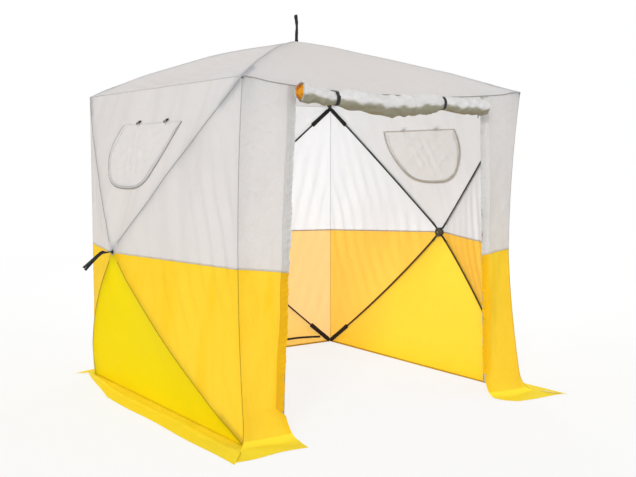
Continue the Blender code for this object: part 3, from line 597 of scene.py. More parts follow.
# The back wall's copy glows paler still on its inner face: painted light for the lamp that shines
# through it from behind.
BACKLIT_BACK_WALL_YELLOW = cloth_material("coated_polyester_yellow_back_painted_backlit", LIT_FACET_LEMON_HEX, YELLOW_GLOW_HEX,
                              gloss=0.05, cut_colour_and_facet_shade=SHADED_FACET_YELLOW_HEX, inner_coat_and_backlight=BACK_WALL_BACKLIT_HEX)


def window_outline(name, margin=0.0):
    """The window's outline: a flat top, and sides that narrow and round into the bottom.

    The half width falls by 9 % on the way down, swells by a sine in its upper part, and is
    multiplied by the cube root of 1 - drop cubed. The cloth has drawn the top to one side.
    """
    drop = np.sin(np.linspace(0, math.pi / 2, 22))
    swell = 1 + 0.05 * np.sin(math.pi * np.minimum(drop / 0.7, 1))
    half_width = (WINDOW_HALF + margin) * swell * (1 - 0.09 * drop) * (1 - drop ** 3) ** (1 / 3)
    level = WINDOW_TOP + min(margin, 0) - drop * (WINDOW_HEIGHT + margin) - HALF_WALL
    top_lean, lean = WINDOW_LEAN[name]
    lean = lean + top_lean * (1 - drop) ** LEAN_POWER[name]
    right_side = np.stack([lean + half_width, level], axis=1)
    left_side = np.stack([lean - half_width, level], axis=1)[-2::-1]
    return np.concatenate([right_side, left_side])[::-1]


def belt_line(name, over):
    """The belt seam from end to end.

    On a side wall it rises evenly to the hub, where each cloth ends on its half of the strap's
    hole: the upper half when over is set.
    """
    ends = [(-HALF_WIDTH, BELT_LEVEL), (HALF_WIDTH, BELT_LEVEL)]
    if not BELT_RISE[name]:
        return ends
    arc = [(HOLE_RADIUS * math.cos(t), BELT_LEVEL + BELT_RISE[name] + HOLE_RADIUS * math.sin(t))
           for t in np.linspace(math.pi, 0 if over else 2 * math.pi, 9)]
    return [ends[0], *arc, ends[1]]


def mark(made, name, values):
    """A number at each of a piece's points, for its material."""
    layer = made.data.attributes.new(name, "FLOAT", "POINT")
    values = np.broadcast_to(values, len(made.data.vertices))
    layer.data.foreach_set("value", values.astype(np.float32))


def beside_hub(made, cloth):
    """0 on the triangles below and above the hub, and 1 on those beside it."""
    spots = np.array([vertex.co[:] for vertex in made.data.vertices]) - cloth["centre"]
    a = np.abs(spots @ cloth["across"]) / cloth["half"][0]
    u = np.abs(spots @ cloth["up"]) / cloth["half"][1]
    return np.clip((a - u) / FACET_BLUR + 0.5, 0, 1)


for name in ("left", "right", "back"):
    wall = PANELS[name]
    half_x, half_y = wall["half"]
    openings = [round_hole] if name == "back" else [window_outline(name, 0.004)]
    upper = panel_sheet(f"{name}_wall_upper_cloth", wall,
                        [*belt_line(name, over=True), (half_x, half_y), (-half_x, half_y)],
                        GREY_CLOTH, openings, ridges_of(wall, low=BELT_LEVEL / half_y))
    fitted(upper, "grey_cloth", None, f"{name}_wall_upper")
    lower = panel_sheet(f"{name}_wall_lower_cloth", wall,
                        [(-half_x, -half_y), (half_x, -half_y),
                         *belt_line(name, over=False)[::-1]],
                        BACKLIT_BACK_WALL_YELLOW if name == "back" else YELLOW_CLOTH, (),
                        ridges_of(wall, high=BELT_LEVEL / half_y))
    # The mark paints the triangles beside the hub amber, as painted shade, and those below and above
    # it lemon, as painted light.
    mark(lower, "cut_and_facet_shade", beside_hub(lower, wall))
    fitted(lower, "yellow_cloth", None, f"{name}_wall_lower")


# Seams
# The triangles are joined by flat-felled seams with two rows of stitching, drawn 5 mm wide. The
# belt seam is wider. A welt runs round the eaves and down the two rear corners.
SEAM_WIDTH = 0.005
SEAM_THICKNESS = 0.0020
BELT_WIDTH = 0.009
STITCH_STEP = 0.008
STITCH_THICKNESS = 0.0011
STITCH_SHARE = 0.68
WELT_RADIUS = 0.0013
SEAM_STEP = 0.010
SIDES = (("left", -1), ("right", 1))
SLOT_OF = {"upper": "grey_cloth", "lower": "yellow_cloth"}


def stitched_material(name, colour, thread, width, glow=0.25):
    """A seam of the same coated polyester, folded twice and sewn with two rows of lockstitch.

    The eye sees a dull raised line with a dotted thread on it. The stitches are drawn 8 mm long,
    two to three times too long, so that they show.
    """
    made = new_material(name)
    laid = add_node(made, "UVMap", uv_map="laid_flat")
    across, along = (add_node(made, "SeparateXYZ", {"Vector": laid}, axis) for axis in "XY")
    row = add_node(made, "Math", {0: across, 1: width / 2}, operation="PINGPONG")
    on_row = add_node(made, "Math", {0: row, 1: width / 4, 2: STITCH_THICKNESS},
                      operation="COMPARE")
    beat = add_node(made, "Math", {0: along, 1: STITCH_STEP}, operation="DIVIDE")
    beat = add_node(made, "Math", {0: beat}, operation="FRACT")
    on_stitch = add_node(made, "Math", {0: beat, 1: STITCH_SHARE}, operation="LESS_THAN")
    stitch = add_node(made, "Math", {0: on_row, 1: on_stitch}, operation="MULTIPLY")
    painted = add_node(made, "Mix", {0: stitch, 6: colour, 7: thread}, 2, data_type="RGBA")
    pucker = add_node(made, "TexNoise", {"Vector": laid, "Scale": 160.0})
    relief = add_node(made, "Bump", {"Height": pucker, "Distance": 0.0008, "Strength": 0.5})
    relief = add_node(made, "Bump", {"Height": stitch, "Distance": 0.0005, "Strength": 0.6,
                                     "Normal": relief})
    return surfaced(made, {"Base Color": painted, "Roughness": 0.7, "Specular IOR Level": 0.3,
                           "Normal": relief}, glow, colour)


def unit(vectors):
    """Each vector at length 1."""
    return vectors / np.linalg.norm(vectors, axis=-1, keepdims=True)


def grid_quads(rows, columns, round_rows=False, round_columns=False):
    """The quads of a grid of points, closed round where said, and their corners' places."""
    r, c = np.meshgrid(np.arange(rows - 1 + round_rows), np.arange(columns - 1 + round_columns),
                       indexing="ij")
    around = [(r, c), (r, c + 1), (r + 1, c + 1), (r + 1, c)]
    quads = np.stack([i % rows * columns + j % columns for i, j in around], axis=-1)
    return quads.reshape(-1, 4), around


def end_faces(rows, sides):
    """The faces that close the first and the last ring of a tube."""
    return [list(range(sides))[::-1], list(range((rows - 1) * sides, rows * sides))]


def run(loop):
    """The distance along a loop to each of its points, and back to the first."""
    steps = np.linalg.norm(np.diff(loop, axis=0, append=loop[:1]), axis=1)
    return np.concatenate([[0], np.cumsum(steps)])


def swept(name, path, aside, outline, finish, closed=False):
    """A closed outline of width and thickness carried along a path, facing out.

    At each point of the path the width runs along aside less its part along the path, and the
    thickness along the cross product of the two. The outline may differ from point to point.
    """
    path = np.asarray(path, float)
    outline = np.broadcast_to(np.asarray(outline, float), (len(path), *np.shape(outline)[-2:]))
    if closed:
        ahead = unit(np.roll(path, -1, axis=0) - np.roll(path, 1, axis=0))
    else:
        ahead = unit(np.gradient(path, axis=0))
    aside = np.broadcast_to(np.asarray(aside, float), path.shape)
    aside = unit(aside - (aside * ahead).sum(axis=1, keepdims=True) * ahead)
    over = np.cross(ahead, aside)
    points = path[:, None] + outline[..., :1] * aside[:, None] + outline[..., 1:] * over[:, None]
    rows, sides = points.shape[:2]
    points = points.reshape(-1, 3)
    length, girth = run(path), run(outline[0])
    quads, around = grid_quads(rows, sides, closed, True)
    laid = np.stack([np.stack([girth[j], length[i]], axis=-1) for i, j in around],
                    axis=-2).reshape(-1, 2)
    faces = quads.tolist()
    if not closed:
        faces += end_faces(rows, sides)
        laid = np.concatenate([laid, outline[0][::-1], outline[-1]])
    return add_piece(name, points, faces, laid, finish)


def oval(width, thickness, sides=12):
    """A rounded flat outline: an ellipse of the third power."""
    turn = (np.arange(sides) + 0.5) * 2 * math.pi / sides
    ring = np.stack([np.cos(turn), np.sin(turn)], axis=1)
    return np.array((width / 2, thickness / 2)) * np.sign(ring) * np.abs(ring) ** 0.67


def swept_flat(name, cloth, path, outline, finish):
    """An outline carried along a path with its width in the panel's plane."""
    return swept(name, path, np.cross(unit(np.gradient(path, axis=0)), cloth["normal"]), outline,
                 finish)


def cloth_band(name, cloth, line, outline, finish, lift=0.0, step=SEAM_STEP):
    """A band that follows a line on a panel's cloth."""
    flat = along_lines(line, step)
    made = swept_flat(name, cloth, on_cloth(cloth, flat, lift), outline, finish)
    return move_with_hub(made)


def round_outline(radius, sides=12):
    """A circle, as an outline to sweep."""
    turn = np.arange(sides) * 2 * math.pi / sides
    return radius * np.stack([np.cos(turn), np.sin(turn)], axis=1)


# The grey and yellow seams are darker than their cloth: partly thread and doubled cloth, partly
# painted shadow of the rods under the wall seams.
GREY_SEAM = stitched_material("felled_seam_grey", "C2C0BC", "9A9894", SEAM_WIDTH)
YELLOW_SEAM = stitched_material("felled_seam_yellow", "D2B212", "A08B0F", SEAM_WIDTH)
ROOF_SEAM = stitched_material("felled_seam_roof", "DADADB", "D0CFCE", SEAM_WIDTH, glow=0.46)
BELT_SEAM = stitched_material("belt_seam", "DEDCD8", "C2BFB8", BELT_WIDTH, glow=0.4)
EAVE_WELT = stitched_material("eave_welt", "DADAD9", "C6C5C2", SEAM_WIDTH, glow=0.45)
SEAM_SHAPE = oval(SEAM_WIDTH, SEAM_THICKNESS)
BELT_SHAPE = oval(BELT_WIDTH, SEAM_THICKNESS)
WELT = round_outline(WELT_RADIUS, 10)
for number, line in enumerate(ridges_of(PANELS["roof"])):
    fitted(cloth_band(f"roof_ridge_seam_{number}", PANELS["roof"], line, SEAM_SHAPE, ROOF_SEAM),
           "grey_cloth")
for name in ("left", "right", "back"):
    wall = PANELS[name]
    for part, finish, limits in (("upper", GREY_SEAM, (BELT_LEVEL / HALF_WALL, 1.0)),
                                 ("lower", YELLOW_SEAM, (-0.994, BELT_LEVEL / HALF_WALL))):
        for number, line in enumerate(ridges_of(wall, *limits)):
            seam = cloth_band(f"{name}_wall_{part}_seam_{number}", wall, line, SEAM_SHAPE, finish)
    line = belt_line(name, over=True)
    for number, part in enumerate((line[:2], line[-2:]) if BELT_RISE[name] else (line,)):
        belt = cloth_band(f"{name}_wall_belt_seam_{number}", wall, np.array(part) * (0.9989, 1),
                          BELT_SHAPE, BELT_SEAM)

eave_line = along_lines([(x * HALF_WIDTH, y, EAVE) for x, y in
                         ((-1, FRONT_Y), (1, FRONT_Y), (1, BACK_Y), (-1, BACK_Y), (-1, FRONT_Y))],
                        SEAM_STEP)[:-1]
eave_line[:, 2] -= np.where(eave_line[:, 1] < FRONT_Y + 1e-6, eave_sag(eave_line[:, 0]), 0)
fitted(swept("eave_welt", eave_line, (0, 0, 1), WELT, EAVE_WELT, closed=True),
       "grey_cloth", "cover")
x = np.linspace(-HALF_WIDTH, HALF_WIDTH, 120)
front_line = np.stack([x, np.full(120, FRONT_Y - 0.0014), EAVE - 0.0015 - eave_sag(x)], axis=1)
fitted(swept("front_eave_seam", front_line, (0, 0, 1), SEAM_SHAPE, GREY_SEAM),
       "grey_cloth", "cover")
for (side_name, side), (part, finish, low, high) in product(
        SIDES, (("upper", EAVE_WELT, BELT, EAVE), ("lower", YELLOW_SEAM, 0.004, BELT))):
    line = [(side * HALF_WIDTH, BACK_Y, level) for level in np.linspace(low, high, 40)]
    fitted(swept(f"back_{side_name}_corner_welt_{part}", line, (1, 0, 0), WELT, finish),
           SLOT_OF[part], "cover")


# Front panels
# A narrow panel hangs on each side of the doorway, grey over yellow. It is folded back along the
# doorway into a doubled hem, whose free edge is frilled. Its foot curves forward into the ground
# flap, in one piece with it.
JAMB_TOP = 0.245
JAMB_BASE = {-1: 0.165, 1: 0.200}
HEM_TOP = {-1: 0.060, 1: 0.052}
HEM_BASE = {-1: 0.056, 1: 0.038}
HEM_BACK = 0.015
HEM_FOOT = 0.130
FOOT_BEND = 0.070
SKIRT_WIDTH = 0.170
JAMB_STEP = 0.0065
JAMB_COLUMNS = 26
HEM_COLUMNS = 12
BELT_FALL = {-1: 0.025, 1: 0.016}
FOOT_SWING = {-1: (-0.040, 0.020), 1: (0.006, 0.072)}
WAVE_DEPTH = 0.0052
RIDGE_DEPTH = 0.0065
PUCKER_DEPTH = 0.0016
SWAY_WIDTH = 0.0030
FRILL_DEPTH = 0.0028
GATHER_DEPTH = 0.0026
HEM_SWAY = 0.0018
CORNER_SEAM = 0.0016
CORNER_GREY = stitched_material("corner_seam_grey", "D0CFCC", "B4B2AE", SEAM_WIDTH, glow=0.40)
FRONT_GREY = cloth_material("coated_polyester_grey_front", "D8D8DA", GREY_GLOW_HEX,
                            glow=0.42, crinkle=0.017, fold_shade_colour="C4C4C6")
HEM_GREY = cloth_material("doubled_hem_grey", "DADADA", "E8E9EC", glow=0.28, crinkle=0.018)
# The yellow hem is a darker orange than its panel: partly the doubled cloth, partly painted shade
# where the hem turns in.
SHADED_HEM_YELLOW = cloth_material("doubled_hem_yellow_painted_shade", "F5C010", "FFCB30", glow=0.22, crinkle=0.010,
                            gloss=0.15)
GROUND_YELLOW = cloth_material("coated_polyester_yellow_on_ground", "FFE63C", YELLOW_GLOW_HEX,
                               glow=0.06, gloss=0.05)


def jamb_points(along, level, side):
    """A front panel's cloth. along is 0 at the corner, 1 at the fold and 2 at the hem's edge.

    The cloth runs straight from the corner to the fold across the front and with the power 1.5
    in depth. Sines of the height and of the width, which fade at both ends, are its waves. Level
    is the height along the cloth, and below the hem's foot the cloth follows a quadratic Bezier
    curve forward and down to the ground, and then lies flat where level is below 0.
    """
    share = 1 - np.maximum(level, 0) / EAVE
    arch = 1 - (2 * share - 1) ** 2
    peg = splay(side, FRONT_Y, level)
    foot = np.clip((HEM_FOOT - level) / (HEM_FOOT + FOOT_BEND), 0, 1)
    on_floor = np.clip((-level - FOOT_BEND) / (SKIRT_WIDTH - FOOT_BEND), 0, 1)
    forward = FOOT_BEND * foot ** 2 + (SKIRT_WIDTH - FOOT_BEND) * on_floor
    corner_x = HALF_WIDTH - EDGE_DIP[side] * arch - 0.001 + peg + forward
    corner_y = FRONT_Y + EDGE_DRAW[side] * arch - peg
    hem = HEM_TOP[side] + (HEM_BASE[side] - HEM_TOP[side]) * share
    opened = np.clip((HEM_FOOT + 0.03 - level) / 0.05, 0, 1)
    unfolded = (hem - 0.003) * opened * opened * (3 - 2 * opened)
    swing, swing_on_floor = FOOT_SWING[side]
    fold_x = (HALF_WIDTH - JAMB_TOP - (JAMB_BASE[side] - JAMB_TOP) * share - unfolded
              + swing * np.sin(math.pi / 2 * foot) + swing_on_floor * on_floor)
    face, back = np.clip(along, 0, 1), np.clip(along - 1, 0, 1)
    x = corner_x + (fold_x - corner_x) * face - (hem - unfolded) * back
    y = (corner_y + (FRONT_Y - corner_y) * face ** 1.5 + HEM_BACK * np.sin(back * math.pi / 2)
         - forward)
    slack = np.sin(math.pi * np.clip(share, 0, 1)) ** 0.7
    wave = np.sin(level * 9.5 + 5 * face + side) + 0.6 * np.sin(level * 21 - 7 * face)
    ridge = np.abs(np.sin(level * 11 + 4.5 * face + 1.6 * np.sin(level * 5 + side))
                   * np.sin(level * 7 - 3.4 * face + side)) * np.sin(math.pi * face)
    pucker = np.exp(-face / 0.16) * face * 6 * np.sin(level * 62 + 3 * np.sin(level * 11))
    y = y + slack * (1 - back) * (WAVE_DEPTH * face * wave + RIDGE_DEPTH * ridge
                                  + PUCKER_DEPTH * pucker)
    frill = np.sin(level * 52 + side) + 0.5 * np.sin(level * 95)
    gather = np.sin(level * 205 + 3 * np.sin(level * 17) - 2 * back)
    y = y + slack * back * (FRILL_DEPTH * frill + GATHER_DEPTH * gather)
    x = x + slack * (SWAY_WIDTH * face * np.sin(level * 13 + 2 * side)
                     + HEM_SWAY * back * np.sin(level * 43 + 1))
    ruck = 0.5 + 0.5 * np.sin(17 * x + 2.5 * side + 20 * forward)
    z = np.where(level > HEM_FOOT, level, HEM_FOOT * (1 - foot) ** 2)
    z = z + 0.001 + 0.010 * ruck * foot ** 2 * (1 - 0.8 * on_floor)
    y = y + 0.006 * on_floor * np.sin(19 * x + side)
    z = z - eave_sag(x) * np.clip(level / EAVE, 0, 1) ** 3
    return np.stack([side * x, y, z], axis=-1)


def sheet_grid(name, points, laid, finish, flipped=False):
    """An open sheet from a grid of points and each point's place on the cut cloth."""
    quads = grid_quads(*points.shape[:2])[0]
    return add_piece(name, points.reshape(-1, 3), (quads[:, ::-1] if flipped else quads).tolist(),
                     laid.reshape(-1, 2), finish)


for side_name, side in SIDES:
    front, skirt = f"front_{side_name}", f"front_{side_name}_skirt"
    for part, low, high, hem_low, cloth_finish, hem_finish in (
            ("upper", BELT, EAVE - 0.0005, BELT, FRONT_GREY, HEM_GREY),
            ("lower", -SKIRT_WIDTH, BELT, HEM_FOOT, YELLOW_CLOTH, SHADED_HEM_YELLOW)):
        pieces = []
        for piece, start, columns, bottom, finish in (
                (f"{front}_jamb_{part}_cloth", 0, JAMB_COLUMNS, low, cloth_finish),
                (f"{front}_hem_{part}", 1, HEM_COLUMNS, hem_low, hem_finish)):
            levels = np.linspace(bottom, high, round((high - bottom) / JAMB_STEP))
            along, level = np.meshgrid(np.linspace(start, start + 1, columns), levels)
            near_belt = np.clip(1 - np.abs(level - BELT) / 0.40, 0, 1)
            level = level - BELT_FALL[side] * along / 2 * near_belt
            laid = np.stack([along * 0.22, level], axis=-1)
            pieces.append(fitted(sheet_grid(piece, jamb_points(along, level, side), laid, finish,
                                            flipped=side > 0), SLOT_OF[part]))
        jamb, hem = pieces
        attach(hem, "cover")
        if part == "upper":
            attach(jamb, "cover")
            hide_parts(f"{front}_jamb_upper")
        else:
            # The yellow jamb takes the amber painted shade all over.
            mark(jamb, "cut_and_facet_shade", 1.0)
            jamb.data.materials.append(GROUND_YELLOW)
            rows = np.linspace(low, high, round((high - low) / JAMB_STEP))[:-1]
            lying = np.repeat(rows < 0.02, JAMB_COLUMNS - 1).astype(np.int32)
            jamb.data.polygons.foreach_set("material_index", lying)
            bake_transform(jamb)
            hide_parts(f"{front}_jamb_lower", skirt)
        corner_line = jamb_points(np.zeros(90), np.linspace(max(low, 0.005), high, 90), side)
        fitted(swept(f"{front}_corner_seam_{part}", corner_line, (1, 0, 0),
                     round_outline(CORNER_SEAM, 10),
                     CORNER_GREY if part == "upper" else YELLOW_SEAM), SLOT_OF[part], "cover")
    along = np.linspace(0.01, 2, 60)
    line = jamb_points(along, BELT - BELT_FALL[side] * along / 2, side)
    fitted(swept(f"{front}_belt_seam", line, (0, 0, 1), BELT_SHAPE, BELT_SEAM),
           "grey_cloth", "cover")


# Ground flaps
# Strips of the yellow cloth, 170 mm wide, sewn along the foot of the side and back walls. They
# lie on the ground in slack waves, mitred at the corners, and turn up about the foot.
FLAP_STEP = 0.012
FLAP_TAPER = {"left": (0.0, 0.80), "right": (0.0, 0.0), "back": (0.42, 0.0)}
FLAP_UNDERLAP = 0.022
FLAP_BASE = 0.0015
WAVE_RISE = 0.0042
CREASE_RISE = 0.0045
HEM_LEVEL = 0.0065
FOOT_HEM = stitched_material("foot_hem", "D9A810", "A98F12", BELT_WIDTH)
for name, corner, along_axis, out_axis, ends in (
        ("left", (-HALF_WIDTH, 0), (0, 1), (-1, 0), (FRONT_Y, BACK_Y)),
        ("right", (HALF_WIDTH, 0), (0, 1), (1, 0), (FRONT_Y, BACK_Y)),
        ("back", (0, BACK_Y), (1, 0), (0, 1), (-HALF_WIDTH, HALF_WIDTH))):
    corner, along_axis, out_axis = (np.array(pair) for pair in (corner, along_axis, out_axis))
    out, run_share = np.meshgrid(np.linspace(0, 1, round(SKIRT_WIDTH / FLAP_STEP) + 1),
                                 np.linspace(0, 1, round(WIDTH / FLAP_STEP) + 1))
    start, end = FLAP_TAPER[name]
    narrowed = (start * np.clip(1 - run_share / 0.12, 0, 1)
                + end * np.clip((run_share - 0.70) / 0.30, 0, 1))
    mitre = SKIRT_WIDTH * out * (1 - narrowed)
    under = 0 if name == "back" else FLAP_UNDERLAP
    first = ends[0] - (SKIRT_WIDTH * (1 - start) + under) * out
    last = ends[1] + SKIRT_WIDTH * out * (1 - end)
    along = first + run_share * (last - first)
    wave = np.sin(along * 11 + 1) + 0.7 * np.sin(along * 23 + 4 * out) + 0.5 * np.sin(along * 41)
    rise = (FLAP_BASE + WAVE_RISE * (1 + wave / 2.2)
            * np.sin(math.pi * np.clip(out * 1.1, 0, 1)) ** 0.8)
    rise = rise + CREASE_RISE * np.exp(-((out - 0.45 - 0.06 * np.sin(along * 3)) / 0.07) ** 2)
    peg = splay(out_axis[0], along, 0.0)
    reach = FLAP_BASE + mitre + 0.004 * out * (np.sin(along * 9 + 2) - 1) + peg
    along = along - peg
    flat = corner + along[..., None] * along_axis + reach[..., None] * out_axis
    laid = np.stack([along - ends[0] + 0.2, mitre], axis=-1)
    skirt = sheet_grid(f"{name}_ground_flap", np.concatenate([flat, rise[..., None]], axis=-1),
                       laid, GROUND_YELLOW, flipped=name == "left")
    fitted(skirt, "yellow_cloth", f"{name}_skirt", f"{name}_skirt")
    line = [(*(corner + along_axis * spot), HEM_LEVEL) for spot in np.linspace(*ends, 160)]
    fitted(swept(f"{name}_foot_hem", line, (0, 0, 1), BELT_SHAPE, FOOT_HEM),
           "yellow_cloth", "cover")


# Windows
# Each side wall has a window of clear PVC film, bound with a strip of the wall's cloth. A cloth
# flap closes it from outside along a coil zip, which runs down one side and up the other. Two
# black toggles over it hold the flap when it is rolled up.
FLAP_LIFT = 0.0045
FLAP_LAP = 0.010
FLAP_FOLD = 0.0095
BINDING_WIDTH = 0.009
COIL_WIDTH = 0.0050
COIL_HEIGHT = 0.0042
COIL_STEP = 0.004
TAPE_WIDTH = 0.011
TAPE_LIFT = 0.0022
COIL_LIFT = 0.0036
FILM_LIFT = -0.0016
FILM_MARGIN = 0.010
STITCHES_IN = 0.030
TOGGLE_SPACING = 0.320
TOGGLE_SHIFT = -0.018
TOGGLE_LENGTH = 0.052
TOGGLE_RADIUS = 0.0062
TOGGLE_SLANT = 0.30
TOGGLE_OVER = 0.010
RIB_STEP = 0.0024


def webbing_material(name, colour, light):
    """Woven polyester webbing. The eye sees fine ribs across it, drawn at 2.4 mm, and dull black."""
    made = new_material(name)
    laid = add_node(made, "UVMap", uv_map="laid_flat")
    picks, cords = (add_node(made, "TexWave", {"Vector": laid, "Scale": WAVE_REPEAT / RIB_STEP,
                                               "Distortion": bent}, "Fac", bands_direction=way)
                    for way, bent in (("Y", 0.4), ("X", 0.0)))
    woven = add_node(made, "Math", {0: picks, 1: cords}, operation="MULTIPLY")
    fluff = add_node(made, "TexNoise", {"Vector": laid, "Scale": 240.0})
    shade = add_node(made, "MapRange", {"Value": fluff, "To Min": 0.0, "To Max": 0.5})
    painted = add_node(made, "Mix", {0: shade, 6: colour, 7: light}, 2, data_type="RGBA")
    relief = add_node(made, "Bump", {"Height": woven, "Distance": 0.0006, "Strength": 0.6})
    return surfaced(made, {"Base Color": painted, "Roughness": 0.75, "Specular IOR Level": 0.3,
                           "Sheen Weight": 0.2, "Normal": relief})


def zip_material(name, dark, light, glow):
    """A nylon coil zip. The eye sees a pale ribbed line; a turn of the coil is drawn each 4 mm."""
    made = new_material(name)
    laid = add_node(made, "UVMap", uv_map="laid_flat")
    turns = add_node(made, "TexWave", {"Vector": laid, "Scale": WAVE_REPEAT / COIL_STEP}, "Fac",
                     bands_direction="Y")
    painted = add_node(made, "Mix", {0: turns, 6: dark, 7: light}, 2, data_type="RGBA")
    relief = add_node(made, "Bump", {"Height": turns, "Distance": 0.0008, "Strength": 0.7})
    return surfaced(made, {"Base Color": painted, "Roughness": 0.45, "Normal": relief}, glow,
                    light)


def film_material(name, colour):
    """Clear soft PVC film. The eye sees through it, with broad soft glints on its waves."""
    made = new_material(name)
    laid = add_node(made, "UVMap", uv_map="laid_flat")
    waves = add_node(made, "TexNoise", {"Vector": laid, "Scale": 14.0, "Distortion": 0.8})
    haze = add_node(made, "MapRange", {"Value": waves, "To Min": 0.10, "To Max": 0.24})
    relief = add_node(made, "Bump", {"Height": waves, "Distance": 0.012, "Strength": 0.6})
    return surfaced(made, {"Base Color": colour, "Roughness": haze, "Alpha": 0.09,
                           "Specular IOR Level": 0.6, "Normal": relief})


BLACK_WEBBING = webbing_material("black_polyester_webbing", "0D0D0D", "2A2A2C")
ZIP_COIL = zip_material("nylon_coil_zip", "9C9A93", "C8C5BE", glow=0.55)
CLEAR_FILM = film_material("clear_pvc_film", "E9ECEC")
FLAP_CLOTH = cloth_material("window_flap_cloth", "DCDCDE", "F4F5F8", glow=0.42, crinkle=0.020)
TAPE = stitched_material("zip_tape_grey", "ECECEA", "D0CEC9", TAPE_WIDTH, glow=0.70)


def crumple(flat):
    """How the flap stands off the wall: its own slack, in folded sines, rising from its edges."""
    x, y = flat[:, 0], flat[:, 1] - (WINDOW_TOP - HALF_WALL)
    down = np.clip(-y / WINDOW_HEIGHT, 0.02, 0.98)
    across = np.clip(np.abs(x) / WINDOW_HALF, 0, 1)
    middle = np.sin(math.pi * down) * np.cos(math.pi / 2 * across)
    folds = (1 - np.abs(np.sin(19 * x + 25 * y + 2.2 * np.sin(7 * y)))
             + 0.7 * (1 - np.abs(np.sin(27 * x - 15 * y + 1.5 * np.sin(13 * x)))))
    fine = np.sin(31 * x + 22 * y + 2 * np.sin(9 * y)) * np.sin(13 * x - 37 * y)
    return FLAP_LIFT + middle * (FLAP_FOLD * folds + 0.0016 * (1 + fine))


for name in ("left", "right"):
    wall = PANELS[name]
    window, flap_body = f"{name}_window", f"{name}_flap"
    film = panel_sheet(f"{window}_clear_film", wall, window_outline(name, FILM_MARGIN),
                       CLEAR_FILM, lift=FILM_LIFT, step=0.016)
    fitted(film, "window_film", None, f"{window}_film")
    outline = window_outline(name)
    edge = window_outline(name, FLAP_LAP)
    fitted(cloth_band(f"{window}_binding", wall, [*outline, outline[0]],
                      oval(BINDING_WIDTH, 0.0024), TAPE), "grey_cloth")
    fitted(cloth_band(f"{window}_zip_tape", wall, edge, oval(TAPE_WIDTH, 0.0014), TAPE,
                      lift=TAPE_LIFT), "zip_tape")
    fitted(cloth_band(f"{window}_zip_coil", wall, edge, oval(COIL_WIDTH, COIL_HEIGHT), ZIP_COIL,
                      lift=COIL_LIFT, step=0.006), "zip_tape")
    flap, _ = laid_over(f"{window}_flap_cloth", wall, window_outline(name, FLAP_LAP - 0.001),
                        FLAP_CLOTH, lift=crumple, step=0.009)
    fitted(flap, "grey_cloth", flap_body, f"{window}_flap")
    inner = along_lines(window_outline(name, FLAP_LAP - STITCHES_IN), 0.008)
    row = swept_flat(f"{window}_flap_seam", wall, on_cloth(wall, inner, crumple(inner) + 0.0004),
                     oval(0.005, 0.0012, 8), ROOF_SEAM)
    fitted(row, "grey_cloth", flap_body)
    for place, way in (("front", -1), ("rear", 1)):
        foot = np.array([sum(WINDOW_LEAN[name]) + TOGGLE_SHIFT + way * TOGGLE_SPACING / 2,
                         WINDOW_TOP + TOGGLE_OVER - HALF_WALL])
        slant = np.array([-math.cos(TOGGLE_SLANT), math.sin(TOGGLE_SLANT)])
        lengths = np.linspace(-0.5, 0.5, 13)
        path = on_cloth(wall, foot + lengths[:, None] * TOGGLE_LENGTH * slant,
                        TOGGLE_RADIUS + 0.0036)
        swell = (np.sqrt(np.clip(1 - (2 * lengths) ** 2, 0.08, 1)) ** 0.7
                 * (1 - 0.22 * np.exp(-(lengths / 0.08) ** 2)))
        fitted(swept(f"{window}_toggle_bar_{place}", path, wall["normal"],
                     round_outline(TOGGLE_RADIUS) * swell[:, None, None], BLACK_WEBBING),
               "black_webbing", window, f"{window}_toggle_{place}")
        tab_line = np.stack([np.full(9, foot[0]), foot[1] + np.linspace(-0.020, 0.010, 9)], axis=1)
        rise = TOGGLE_RADIUS * 2 + 0.004 - 0.012 * np.linspace(1, 0, 9) ** 2
        fitted(swept(f"{window}_toggle_tab_{place}", on_cloth(wall, tab_line, rise),
                     wall["across"], oval(0.009, 0.0016, 8), TAPE), "zip_tape", window)


# Rods
# Each panel has four pultruded glass-fibre rods, 11 mm thick, in a black sleeve. A rod turns on a
# pin in the hub, bows out to its corner, and ends in a pouch of doubled webbing sewn there.
ROD_RADIUS = 0.0055
FERRULE_RADIUS = 0.0068
EYE_RADIUS = 0.0050
FERRULE_LENGTH = 0.075
EYE_LENGTH = 0.012
PIVOT = 0.020
ROD_UNDER = 0.015
ROD_SHORT = 0.030
POUCH_START = 0.190
POUCH_END = 0.018
POUCH_WIDTH = 0.033
POUCH_THICKNESS = 0.016
CORNERS = {"roof": (("front", "back"), ("left", "right")),
           "left": (("lower", "upper"), ("front", "rear")),
           "right": (("lower", "upper"), ("front", "rear")),
           "back": (("lower", "upper"), ("left", "right"))}


def fibre_material(name, colour, light):
    """Glass-fibre rod with a black surface veil, pulled through a die.

    The eye sees a hard satin black with fine streaks along the rod.
    """
    made = new_material(name)
    laid = add_node(made, "UVMap", uv_map="laid_flat")
    drawn_out = add_node(made, "Mapping", {"Vector": laid, "Scale": (1, 0.02, 1)})
    streaks = add_node(made, "TexNoise", {"Vector": drawn_out, "Scale": 900.0})
    painted = add_node(made, "Mix", {0: streaks, 6: colour, 7: light}, 2, data_type="RGBA")
    rough = add_node(made, "MapRange", {"Value": streaks, "To Min": 0.28, "To Max": 0.46})
    return surfaced(made, {"Base Color": painted, "Roughness": rough})


BLACK_FIBRE = fibre_material("black_glass_fibre", "0E0D0B", "26231E")


def rod_line(cloth, ways, start, end, count):
    """Points from the hub (start metres out) to the corner (end metres short), and laid flat."""
    diagonal = float(np.hypot(*cloth["half"]))
    flat = np.linspace(start / diagonal, 1 - end / diagonal, count)[:, None] * ways * cloth["half"]
    peg = pegged(cloth, flat)[:, None]
    out = (height(cloth, flat) - ROD_UNDER)[:, None] + peg
    return (cloth["centre"] + (flat[:, :1] - peg) * cloth["across"] + flat[:, 1:] * cloth["up"]
            + out * cloth["normal"]), flat


